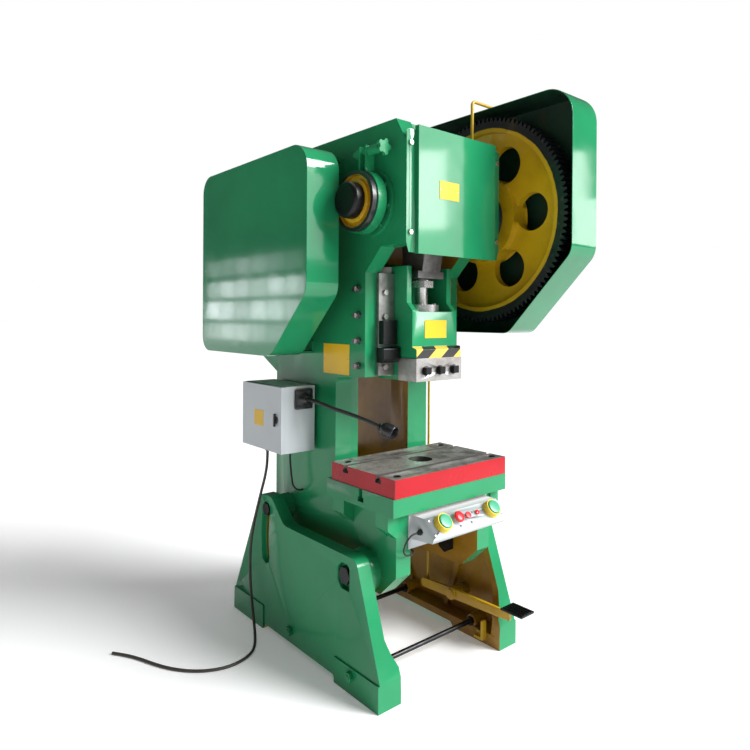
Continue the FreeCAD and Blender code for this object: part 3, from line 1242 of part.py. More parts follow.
def button(name):
    """A button's stem and head; the head stands clear of its collar by the button's travel."""
    x, along, radius = BUTTONS[name]
    gap = 7.0 + 5.5
    stem = panel_rod(x, along, -12, gap + 2, 7.0)
    if name == "stop_button":
        head = [panel_rod(x, along, gap, gap + 12, radius)]
    elif name == "set_button":
        head = [panel_rod(x, along, gap, gap + 7, radius)]
    else:
        head = [panel_rod(x, along, gap, gap + 14, radius), panel_rod(x, along, gap + 13, gap + 17, radius - 4)]
    return fuse([stem] + head)


def signal_lamp():
    return fuse([panel_rod(SIGNAL[0], SIGNAL[1], -14, 3, 8.0), panel_rod(SIGNAL[0], SIGNAL[1], 0, 9, SIGNAL[2])])


BOX_GLAND = (BOX_X0, -178.0, 540.0)
CORD = ((-330.0, 548.0, 716.0), (-330.0, 548.0, 668.0), (-335.0, 556.0, 612.0), (-345.0, 566.0, 556.0),
        (-357.0, 573.0, 498.0), (-368.0, 580.0, 440.0), (-376.0, 587.0, 380.0), (-381.0, 591.0, 320.0),
        (-384.0, 588.0, 262.0), (-388.0, 578.0, 206.0), (-393.0, 561.0, 152.0), (-400.0, 536.0, 102.0),
        (-410.0, 505.0, 62.0), (-424.0, 470.0, 31.0), (-444.0, 434.0, 12.6), (-474.0, 403.0, 7.4),
        (-520.0, 379.0, 7.2), (-572.0, 371.0, 7.2), (-624.0, 382.0, 7.2), (-676.0, 412.0, 7.2),
        (-722.0, 458.0, 7.2), (-757.0, 512.0, 7.2), (-783.0, 568.0, 7.2), (-806.0, 626.0, 7.2),
        (-834.0, 682.0, 7.2), (-870.0, 732.0, 7.2))
CONDUIT = ((-280.0, 458.0, 716.0), (-280.0, 458.0, 690.0), (-280.0, 450.0, 640.0), (-280.0, 438.0, 592.0),
           (-270.5, 434.0, 575.5), (-254.0, 432.0, 566.0), (-WALL_OUT, 432.0, 566.0))
BOX_CABLE = ((BOX_X0 - 14, -178.0, 540.0), (-207.0, -178.0, 540.0), (-229.0, -172.0, 516.0),
             (-229.0, -161.0, 483.0), (-206.0, -151.0, 461.0), (-171.0, -148.0, 459.0),
             (-148.0, -124.0, 458.0), (-146.0, -91.0, 457.0), (-148.0, -58.0, 456.0))


def cable_glands():
    """Hexagon cable glands: two under the cabinet and one on the console's left end."""
    parts = []
    for x, y in GLAND_XY:
        body = fuse([hexagon("z", CAB_Z0 - 12, CAB_Z0, x, y, 26), rod("z", CAB_Z0 - 12, CAB_Z0 + 8, x, y, 9.0),
                     Part.makeCone(12, 9, 15, Vector(x, y, CAB_Z0 - 12), Vector(0, 0, -1))])
        parts.append(body)
    x, y, z = BOX_GLAND
    parts.append(fuse([hexagon("x", x - 8, x, y, z, 18), rod("x", x - 14, x - 7, y, z, 7.5)]))
    return group(parts)


def main():
    os.makedirs("parts", exist_ok=True)
    left = Vector(0, 0, 0), Vector(1, 0, 0)
    leg = right_leg()
    save("right_leg", leg)
    save("left_leg", leg.mirror(*left))
    save("pedal_stop", pedal_stop())
    save("tie_rods", tie_rods())
    save("pivot_pins", pivot_pins())
    save("lock_bolts", lock_bolts())
    save("pedal_lever", pedal_lever())
    save("pedal_plate", pedal_plate())
    save("pedal_shaft", pedal_shaft())
    save("trip_rod", trip_rod())
    save("trip_guides", trip_guides())
    save("frame", frame())
    save("bolster", bolster())
    save("bolster_bolts", bolster_bolts())
    save("crankshaft", crankshaft())
    save("shaft_caps", shaft_caps())
    save("brake_drum", brake_drum())
    save("bearing_bushes", bushes())
    save("bearing_flange", bearing_flange())
    save("brake_band", brake_band())
    save("brake_adjuster", brake_adjuster())
    save("bull_gear", bull_gear())
    save("clutch_housing", clutch_housing())
    save("pinion_shaft", pinion_shaft())
    save("flywheel", flywheel())
    save("motor_pulley", motor_pulley())
    save("v_belts", v_belts())
    save("motor_body", group([motor_body(), terminal_box()]))
    save("motor_plate", motor_plate())
    save("belt_guard", belt_guard())
    save("gear_guard", gear_guard())
    save("guard_brackets", guard_brackets())
    save("guard_stay", guard_stay())
    save("front_cover", front_cover())
    save("hex_screws", hex_screws())
    save("ram", ram())
    save("clamp_block", clamp_block())
    save("clamp_bolts", clamp_bolts())
    save("left_gib", gib(-1))
    save("right_gib", gib(1))
    save("gib_screws", gib_screws())
    save("stop_blocks", stop_blocks())
    save("connecting_rod", connecting_rod())
    save("adjusting_screw", adjusting_screw())
    save("ball_cap", ball_cap())
    save("cabinet_box", cabinet_box())
    save("cabinet_door", cabinet_door())
    save("door_lock", door_lock())
    save("lamp_base", lamp_base())
    save("lamp_arm", group([lamp_neck()]))
    save("lamp_head", lamp_head())
    save("control_box", control_box())
    for name in BUTTONS:
        save(name, button(name))
    save("signal_lamp", signal_lamp())
    save("cable_glands", cable_glands())
    save("machine_cables", group([tube_path(CONDUIT, 3.75), tube_path(BOX_CABLE, 3.0)]))
    save("power_cord", tube_path(CORD, CORD_R))


main()
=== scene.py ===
"""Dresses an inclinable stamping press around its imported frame.

The frame's castings, shafts and sheets keep their places.  This file softens their edges, paints
them, and adds the finer pieces: button cups and heads, a work lamp's shade, blank plates, screws,
a door seal, the power cord, and the studio they stand in.
"""

import json
import logging
import math
from dataclasses import dataclass
from enum import Enum
from typing import Callable, Dict, Optional, Sequence, Tuple, Union

import bpy
from mathutils import Matrix, Vector


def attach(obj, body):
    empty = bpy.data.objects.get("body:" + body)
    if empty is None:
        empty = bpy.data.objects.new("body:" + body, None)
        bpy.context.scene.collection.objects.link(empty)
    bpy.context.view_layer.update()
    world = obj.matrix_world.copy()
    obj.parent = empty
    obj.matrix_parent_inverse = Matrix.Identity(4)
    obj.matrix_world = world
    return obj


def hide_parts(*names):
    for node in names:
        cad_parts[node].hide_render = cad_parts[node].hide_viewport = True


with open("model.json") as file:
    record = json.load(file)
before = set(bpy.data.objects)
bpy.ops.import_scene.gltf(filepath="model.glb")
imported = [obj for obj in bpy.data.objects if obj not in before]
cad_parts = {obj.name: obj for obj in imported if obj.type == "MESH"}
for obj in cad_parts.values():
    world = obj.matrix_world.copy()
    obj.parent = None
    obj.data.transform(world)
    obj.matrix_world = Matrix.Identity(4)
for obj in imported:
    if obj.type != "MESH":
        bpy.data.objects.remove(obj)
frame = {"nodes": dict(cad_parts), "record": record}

LOG = logging.getLogger("stamping_press")
Triple = Tuple[float, float, float]
Socket = bpy.types.NodeSocket
Value = Union[float, Socket]
SHIFT_Y = -0.2115


class Axis(Enum):
    """A direction that a plate faces."""

    LEFT = (-1.0, 0.0, 0.0)
    FRONT = (0.0, -1.0, 0.0)


def at(x: float, y: float, z: float) -> Vector:
    """A point given in millimetres from the ram's axis and the floor.

    Args:
        x: Distance to the operator's right.
        y: Distance behind the ram's axis.
        z: Height above the floor.

    Returns:
        The point in the row frame, in metres.
    """
    return Vector((x / 1000.0, y / 1000.0 + SHIFT_Y, z / 1000.0))


# ---- finishes -----------------------------------------------------------------------------
class Recipe:
    """Lays out the shader nodes of one material."""

    def __init__(self, name: str, roughness: float, metallic: float = 0.0, coat: float = 0.0,
                 specular: float = 0.5) -> None:
        """Starts a material.

        Args:
            name: The material's name.
            roughness: Base roughness of the surface.
            metallic: 1 for bare metal, 0 for paint and plastic.
            coat: Weight of a clear coat over the base.
            specular: Strength of the base's own reflection.
        """
        self.material = bpy.data.materials.new(name)
        self.material.use_nodes = True
        self.tree = self.material.node_tree
        self.shader = next(n for n in self.tree.nodes if n.type == "BSDF_PRINCIPLED")
        self.shader.inputs["Roughness"].default_value = roughness
        self.shader.inputs["Metallic"].default_value = metallic
        self.shader.inputs["Coat Weight"].default_value = coat
        self.shader.inputs["Coat Roughness"].default_value = 0.06
        self.shader.inputs["Specular IOR Level"].default_value = specular
        self.place = self.tree.nodes.new("ShaderNodeTexCoord").outputs["Object"]
        self.relief: Optional[Socket] = None

    def _feed(self, target: Socket, value: Union[Value, Triple]) -> None:
        """Sets a socket from a number, a colour or another socket."""
        if isinstance(value, bpy.types.NodeSocket):
            self.tree.links.new(value, target)
        elif isinstance(value, (int, float)):
            target.default_value = value
        else:
            target.default_value = (*value, 1.0) if len(target.default_value) == 4 else value

    def stretched(self, scale: Triple) -> Socket:
        """Object coordinates scaled along each axis.

        Args:
            scale: Factor along X, Y and Z.

        Returns:
            The scaled coordinates.
        """
        node = self.tree.nodes.new("ShaderNodeMapping")
        self.tree.links.new(self.place, node.inputs["Vector"])
        node.inputs["Scale"].default_value = scale
        return node.outputs["Vector"]

    def noise(self, scale: float, detail: float = 4.0, rough: float = 0.55,
              where: Optional[Socket] = None) -> Socket:
        """Cloudy noise.

        Args:
            scale: Features per metre.
            detail: Octaves.
            rough: Weight of the finer octaves.
            where: Coordinates, or none for the object's own.

        Returns:
            A value about 0.5.
        """
        node = self.tree.nodes.new("ShaderNodeTexNoise")
        node.inputs["Scale"].default_value = scale
        node.inputs["Detail"].default_value = detail
        node.inputs["Roughness"].default_value = rough
        self.tree.links.new(where or self.place, node.inputs["Vector"])
        return node.outputs["Fac"]

    def cells(self, scale: float, where: Optional[Socket] = None) -> Socket:
        """Distance to the nearest of scattered points.

        Args:
            scale: Points per metre.
            where: Coordinates, or none for the object's own.

        Returns:
            The distance.
        """
        node = self.tree.nodes.new("ShaderNodeTexVoronoi")
        node.inputs["Scale"].default_value = scale
        self.tree.links.new(where or self.place, node.inputs["Vector"])
        return node.outputs["Distance"]

    def window(self, value: Socket, low: float, high: float) -> Socket:
        """0 below low, 1 above high, and a smooth rise between.

        Args:
            value: The value to map.
            low: Where the rise starts.
            high: Where it ends.

        Returns:
            The mapped value.
        """
        node = self.tree.nodes.new("ShaderNodeMapRange")
        node.interpolation_type = "SMOOTHSTEP"
        node.inputs["From Min"].default_value = low
        node.inputs["From Max"].default_value = high
        self.tree.links.new(value, node.inputs["Value"])
        return node.outputs["Result"]

    def sum(self, operation: str, first: Value, second: Value = 0.0) -> Socket:
        """One arithmetic step.

        Args:
            operation: The Math node's operation.
            first: First value.
            second: Second value.

        Returns:
            The result.
        """
        node = self.tree.nodes.new("ShaderNodeMath")
        node.operation = operation
        self._feed(node.inputs[0], first)
        self._feed(node.inputs[1], second)
        return node.outputs[0]

    def times(self, first: Value, second: Value) -> Socket:
        """The product of two values."""
        return self.sum("MULTIPLY", first, second)

    def along(self, axis: int) -> Socket:
        """One coordinate of the row frame, in metres."""
        node = self.tree.nodes.new("ShaderNodeSeparateXYZ")
        self.tree.links.new(self.place, node.inputs[0])
        return node.outputs[axis]

    def radius(self, centre: Vector) -> Socket:
        """Distance from a shaft's axis that runs along X through centre."""
        y = self.sum("SUBTRACT", self.along(1), centre.y)
        z = self.sum("SUBTRACT", self.along(2), centre.z)
        squares = self.sum("ADD", self.times(y, y), self.times(z, z))
        return self.sum("SQRT", squares)

    def mix(self, factor: Value, first: Union[Socket, Triple], second: Union[Socket, Triple]) -> Socket:
        """Blends two colours.

        Args:
            factor: 0 for the first, 1 for the second.
            first: A colour.
            second: A colour.

        Returns:
            The blended colour.
        """
        node = self.tree.nodes.new("ShaderNodeMix")
        node.data_type = "RGBA"
        self._feed(node.inputs["Factor"], factor)
        self._feed(node.inputs[6], first)
        self._feed(node.inputs[7], second)
        return node.outputs[2]

    def colour(self, value: Union[Socket, Triple]) -> None:
        """Sets the base colour."""
        self._feed(self.shader.inputs["Base Color"], value)

    def rough(self, value: Socket, low: float, high: float) -> None:
        """Lets roughness run from low to high with a value from 0 to 1."""
        node = self.tree.nodes.new("ShaderNodeMapRange")
        node.inputs["To Min"].default_value = low
        node.inputs["To Max"].default_value = high
        self.tree.links.new(value, node.inputs["Value"])
        self.tree.links.new(node.outputs["Result"], self.shader.inputs["Roughness"])

    def bump(self, height: Socket, strength: float, distance: float) -> None:
        """Adds a relief on top of those already there.

        Args:
            height: The relief's height from 0 to 1.
            strength: How much of it shows.
            distance: Its height in metres.
        """
        node = self.tree.nodes.new("ShaderNodeBump")
        node.inputs["Strength"].default_value = strength
        node.inputs["Distance"].default_value = distance
        self.tree.links.new(height, node.inputs["Height"])
        if self.relief is not None:
            self.tree.links.new(self.relief, node.inputs["Normal"])
        self.relief = node.outputs["Normal"]
        self.tree.links.new(self.relief, self.shader.inputs["Normal"])


class Finish:
    """What a surface is made of.  Each kind mixes its own material."""

    name: str

    def mix_up(self) -> bpy.types.Material:
        """Builds the material."""
        raise NotImplementedError


@dataclass(frozen=True)
class Enamel(Finish):
    """Sprayed machine enamel: an even colour with orange peel, filler waves and a little grime."""

    name: str
    colour: Triple
    shade: Triple
    roughness: float = 0.17
    coat: float = 0.45
    sway: float = 0.10
    peel: float = 0.05
    grime: float = 0.35
    soil: Triple = (0.010, 0.014, 0.008)
    specular: float = 0.28

    def mix_up(self) -> bpy.types.Material:
        """Builds the enamel."""
        recipe = Recipe(self.name, self.roughness, coat=self.coat, specular=self.specular)
        cloud = recipe.noise(2.2, 3.0)
        speckle = recipe.noise(60.0, 5.0, 0.6)
        body = recipe.mix(recipe.window(cloud, 0.35, 0.70), self.colour, self.shade)
        dirt = recipe.window(recipe.noise(7.0, 7.0, 0.68), 0.56, 0.82)
        low = recipe.window(recipe.sum("SUBTRACT", 0.45, recipe.along(2)), 0.0, 0.45)
        dirt = recipe.times(dirt, recipe.sum("ADD", 0.25, recipe.times(low, 0.75)))
        dirt = recipe.times(dirt, self.grime)
        body = recipe.mix(dirt, body, self.soil)
        recipe.colour(recipe.mix(recipe.times(recipe.window(speckle, 0.60, 0.75), 0.10),
                                 body, self.shade))
        recipe.rough(recipe.noise(11.0, 5.0), self.roughness * 0.7, self.roughness * 1.6)
        recipe.bump(recipe.noise(6.0, 2.0), self.sway, 0.010)
        recipe.bump(recipe.noise(420.0, 2.0), self.peel, 0.0006)
        return recipe.material


@dataclass(frozen=True)
class CastPaint(Finish):
    """Brushed paint over rough casting skin, for the insides that are never filled."""

    name: str
    colour: Triple
    shade: Triple
    roughness: float = 0.42

    def mix_up(self) -> bpy.types.Material:
        """Builds the paint."""
        recipe = Recipe(self.name, self.roughness, coat=0.10)
        cloud = recipe.window(recipe.noise(4.0, 6.0, 0.62), 0.36, 0.68)
        body = recipe.mix(cloud, self.colour, self.shade)
        soot = recipe.window(recipe.noise(9.0, 8.0, 0.7), 0.54, 0.74)
        recipe.colour(recipe.mix(recipe.times(soot, 0.45), body, (0.045, 0.030, 0.012)))
        recipe.rough(recipe.noise(20.0, 5.0), self.roughness * 0.7, self.roughness * 1.35)
        recipe.bump(recipe.noise(38.0, 6.0, 0.6), 0.35, 0.003)
        recipe.bump(recipe.noise(240.0, 4.0), 0.20, 0.0008)
        return recipe.material


@dataclass(frozen=True)
class Steel(Finish):
    """Bare steel with tool marks along one axis, stains and fine scratches."""

    name: str
    colour: Triple
    stain: Triple
    roughness: float = 0.34
    grain: Triple = (6.0, 160.0, 160.0)
    stains: float = 0.5
    pits: float = 0.15

    def mix_up(self) -> bpy.types.Material:
        """Builds the steel."""
        recipe = Recipe(self.name, self.roughness, metallic=0.92)
        marks = recipe.noise(2.0, 6.0, 0.6, recipe.stretched(self.grain))
        blotch = recipe.window(recipe.noise(12.0, 8.0, 0.66), 0.42, 0.68)
        body = recipe.mix(recipe.times(blotch, self.stains), self.colour, self.stain)
        recipe.colour(recipe.mix(recipe.times(recipe.window(marks, 0.45, 0.75), 0.30),
                                 body, self.stain))
        recipe.rough(recipe.sum("ADD", recipe.times(marks, 0.5),
                                recipe.times(blotch, 0.5)),
                     self.roughness * 0.7, self.roughness * 1.6)
        recipe.bump(marks, 0.12, 0.0004)
        recipe.bump(recipe.cells(90.0), self.pits, 0.0006)
        return recipe.material


@dataclass(frozen=True)
class WornTable(Finish):
    """A planed table top: oily grey steel with long scratches, rings and rust freckles."""

    name: str = "worn table steel"

    def mix_up(self) -> bpy.types.Material:
        """Builds the table steel."""
        recipe = Recipe(self.name, 0.38, metallic=0.50)
        cross = recipe.noise(1.0, 7.0, 0.7, recipe.stretched((14.0, 220.0, 40.0)))
        along = recipe.noise(1.0, 7.0, 0.7, recipe.stretched((260.0, 12.0, 40.0)))
        blotch = recipe.window(recipe.noise(9.0, 9.0, 0.7), 0.38, 0.66)
        body = recipe.mix(blotch, (0.46, 0.455, 0.43), (0.12, 0.118, 0.105))
        scratch = recipe.sum("MAXIMUM", recipe.window(cross, 0.58, 0.74), recipe.window(along, 0.60, 0.76))
        body = recipe.mix(recipe.times(scratch, 0.55), body, (0.74, 0.73, 0.70))
        rust = recipe.window(recipe.noise(34.0, 8.0, 0.72), 0.60, 0.74)
        recipe.colour(recipe.mix(recipe.times(rust, 0.5), body, (0.14, 0.065, 0.028)))
        recipe.rough(blotch, 0.26, 0.52)
        recipe.bump(scratch, 0.15, 0.0004)
        recipe.bump(recipe.noise(70.0, 5.0), 0.12, 0.0010)
        return recipe.material


@dataclass(frozen=True)
class GearCoat(Finish):
    """A painted web inside a greased ring, divided at a radius from the shaft."""

    name: str
    centre: Triple
    edge: float
    paint: Triple
    paint_shade: Triple
    grease: Triple = (0.010, 0.012, 0.013)

    def mix_up(self) -> bpy.types.Material:
        """Builds the two-zone coat."""
        recipe = Recipe(self.name, 0.34, coat=0.25)
        distance = recipe.radius(Vector(self.centre))
        wander = recipe.times(recipe.sum("SUBTRACT", recipe.noise(16.0, 5.0), 0.5), 0.010)
        ring = recipe.window(recipe.sum("ADD", distance, wander), self.edge - 0.002, self.edge + 0.002)
        cloud = recipe.window(recipe.noise(4.5, 5.0, 0.6), 0.35, 0.70)
        web = recipe.mix(cloud, self.paint, self.paint_shade)
        smear = recipe.window(recipe.noise(10.0, 7.0, 0.7), 0.58, 0.80)
        web = recipe.mix(recipe.times(smear, 0.5), web, (0.10, 0.045, 0.010))
        worn = recipe.window(recipe.noise(46.0, 5.0, 0.6), 0.56, 0.72)
        ring_colour = recipe.mix(recipe.times(worn, 0.35), self.grease, (0.09, 0.10, 0.11))
        recipe.colour(recipe.mix(ring, web, ring_colour))
        recipe.rough(recipe.noise(24.0, 5.0), 0.20, 0.48)
        recipe.bump(recipe.noise(26.0, 5.0), 0.22, 0.003)
        return recipe.material


@dataclass(frozen=True)
class HazardBand(Finish):
    """Slanting black and yellow stripes, with chips along them."""

    name: str = "hazard band"
    period: float = 0.128
    lean: float = 1.25
    start: float = 0.020

    def mix_up(self) -> bpy.types.Material:
        """Builds the stripes."""
        recipe = Recipe(self.name, 0.28, coat=0.3)
        slant = recipe.sum("SUBTRACT", recipe.along(0), recipe.times(recipe.along(2), self.lean))
        phase = recipe.sum("FRACT", recipe.sum("DIVIDE", recipe.sum("ADD", slant, 10.0 + self.start),
                                               self.period))
        black = recipe.window(phase, 0.492, 0.508)
        stripe = recipe.mix(black, (0.80, 0.55, 0.075), (0.012, 0.012, 0.013))
        chip = recipe.window(recipe.noise(60.0, 8.0, 0.75), 0.66, 0.74)
        recipe.colour(recipe.mix(recipe.times(chip, 0.6), stripe, (0.25, 0.24, 0.22)))
        recipe.rough(recipe.noise(30.0, 5.0), 0.20, 0.44)
        recipe.bump(recipe.noise(200.0, 3.0), 0.08, 0.0006)
        return recipe.material


@dataclass(frozen=True)
class Powder(Finish):
    """Textured powder coat on folded sheet."""

    name: str
    colour: Triple
    roughness: float = 0.36

    def mix_up(self) -> bpy.types.Material:
        """Builds the powder coat."""
        recipe = Recipe(self.name, self.roughness, coat=0.08)
        scuff = recipe.window(recipe.noise(8.0, 8.0, 0.7), 0.58, 0.80)
        darker: Triple = tuple(c * 0.72 for c in self.colour)
        cloud = recipe.mix(recipe.times(recipe.window(recipe.noise(3.0, 3.0), 0.3, 0.7), 0.3),
                           self.colour, darker)
        recipe.colour(recipe.mix(recipe.times(scuff, 0.22), cloud, (0.18, 0.17, 0.15)))
        recipe.rough(recipe.noise(30.0, 4.0), self.roughness * 0.8, self.roughness * 1.3)
        recipe.bump(recipe.noise(900.0, 2.0), 0.12, 0.0004)
        recipe.bump(recipe.noise(5.0, 2.0), 0.05, 0.008)
        return recipe.material


@dataclass(frozen=True)
class Moulded(Finish):
    """Moulded plastic or rubber with a fine spark-eroded grain."""

    name: str
    colour: Triple
    roughness: float = 0.30
    grain: float = 0.10
    dust: float = 0.25

    def mix_up(self) -> bpy.types.Material:
        """Builds the plastic."""
        recipe = Recipe(self.name, self.roughness)
        lighter: Triple = tuple(min(1.0, c * 1.15 + 0.03) for c in self.colour)
        dusty = recipe.window(recipe.noise(18.0, 7.0, 0.68), 0.48, 0.78)
        recipe.colour(recipe.mix(recipe.times(dusty, self.dust), self.colour, lighter))
        recipe.rough(recipe.noise(40.0, 4.0), self.roughness * 0.75, self.roughness * 1.4)
        recipe.bump(recipe.noise(700.0, 3.0), self.grain, 0.0004)
        return recipe.material


@dataclass(frozen=True)
class RibbedHose(Finish):
    """Black hose whose fine ribs follow each other along Y, with painted shade in the troughs between them.
    """

    name: str = "ribbed hose"
    pitch: float = 0.0034

    def mix_up(self) -> bpy.types.Material:
        """Builds the hose."""
        recipe = Recipe(self.name, 0.36)
        wave = recipe.sum("SINE", recipe.times(recipe.along(1), 2.0 * math.pi / self.pitch))
        ribs = recipe.sum("ADD", recipe.times(wave, 0.5), 0.5)
        # Painted shade: the colour is darker in the troughs between ribs and lighter on their crests.
        recipe.colour(recipe.mix(recipe.window(ribs, 0.1, 0.9), (0.006, 0.006, 0.006), (0.030, 0.030, 0.032)))
        recipe.bump(ribs, 0.6, 0.0006)
        return recipe.material


@dataclass(frozen=True)
class Pale(Finish):
    """The studio's matt floor."""

    name: str = "studio floor"
    colour: Triple = (0.93, 0.93, 0.93)

    def mix_up(self) -> bpy.types.Material:
        """Builds the floor's finish."""
        recipe = Recipe(self.name, 0.75)
        recipe.colour(recipe.mix(recipe.noise(0.6, 3.0), self.colour, (0.91, 0.91, 0.92)))
        return recipe.material


class PaintShop:
    """Mixes each finish once and hands it out."""

    def __init__(self) -> None:
        """Starts with no material mixed."""
        self._mixed: Dict[Finish, bpy.types.Material] = {}

    def get(self, finish: Finish) -> bpy.types.Material:
        """The material of a finish."""
        if finish not in self._mixed:
            self._mixed[finish] = finish.mix_up()
        return self._mixed[finish]


CRANK = at(0, 0, 1650)
GREEN = Enamel("green enamel", (0.017, 0.262, 0.104), (0.012, 0.205, 0.080), 0.19, 0.10)
SHEET_GREEN = Enamel("green sheet enamel", (0.016, 0.250, 0.100), (0.012, 0.200, 0.080), 0.10, 0.55, 0.16,
                     0.03)
# Guard insides: a darker green paint, darkened further as painted shade of the hollow guards.
DARK_PAINT_AND_SHADE = CastPaint("dark green paint and painted shade inside", (0.006, 0.045, 0.022), (0.003, 0.022, 0.011), 0.5)
OCHRE = CastPaint("ochre inside", (0.36, 0.195, 0.006), (0.23, 0.105, 0.004))
OCHRE_PART = CastPaint("ochre part", (0.60, 0.385, 0.010), (0.44, 0.255, 0.008), 0.36)
GEAR_COAT = GearCoat("gear coat", tuple(CRANK), 0.3665, (0.66, 0.41, 0.008), (0.50, 0.30, 0.006))
DRUM_COAT = GearCoat("drum coat", tuple(CRANK), 0.0895, (0.66, 0.40, 0.010), (0.46, 0.25, 0.008))
RED = Enamel("red plate sides", (0.44, 0.004, 0.012), (0.34, 0.003, 0.008), 0.26, 0.05, 0.05)
TABLE = WornTable()
SLOT_STEEL = Steel("slot steel", (0.17, 0.165, 0.155), (0.07, 0.055, 0.040), 0.48)
BRIGHT_STEEL = Steel("bright steel", (0.56, 0.56, 0.55), (0.22, 0.20, 0.18), 0.28)
BLOCK_STEEL = Steel("milled steel", (0.44, 0.43, 0.42), (0.20, 0.18, 0.155), 0.40, (120.0, 8.0, 20.0), 0.6)
GIB_STEEL = Steel("gib steel", (0.36, 0.36, 0.355), (0.16, 0.15, 0.14), 0.42, (90.0, 90.0, 6.0), 0.7)
FORGED = Steel("forged steel", (0.20, 0.20, 0.20), (0.08, 0.07, 0.06), 0.45, (20.0, 20.0, 20.0), 0.5, 0.3)
ZINC = Steel("zinc plate", (0.60, 0.60, 0.57), (0.36, 0.34, 0.28), 0.26)
OXIDE = Steel("black oxide", (0.035, 0.035, 0.037), (0.012, 0.012, 0.012), 0.34)
BRONZE = Steel("bronze", (0.50, 0.31, 0.12), (0.26, 0.15, 0.06), 0.32)
GREY = Powder("grey powder coat", (0.52, 0.56, 0.58))
GREY_DOOR = Powder("grey door coat", (0.50, 0.54, 0.57), 0.30)
BLACK_PLASTIC = Moulded("black plastic", (0.014, 0.014, 0.016), 0.28)
BLACK_RUBBER = Moulded("black rubber", (0.016, 0.016, 0.016), 0.55, 0.2)
CORD_RUBBER = Moulded("cord rubber", (0.042, 0.036, 0.030), 0.46, 0.15)
LENS = Moulded("smoked lens", (0.10, 0.10, 0.11), 0.14, 0.03)
YELLOW_PLASTIC = Moulded("yellow plastic", (0.80, 0.58, 0.04), 0.26)
GREEN_PLASTIC = Moulded("green plastic", (0.045, 0.36, 0.20), 0.28, 0.12)
RED_PLASTIC = Moulded("red plastic", (0.70, 0.025, 0.035), 0.24)
LAMP_PLASTIC = Moulded("red lamp cover", (0.72, 0.020, 0.020), 0.12, 0.03)
YELLOW_PLATE = Enamel("yellow plate", (0.80, 0.50, 0.020), (0.72, 0.43, 0.018), 0.30, 0.1, 0.02, 0.02, 0.2)
HOSE = RibbedHose()
HAZARD = HazardBand()


# ---- the bench: how pieces are modelled ---------------------------------------------------
Rule = Callable[[Vector, Vector], int]


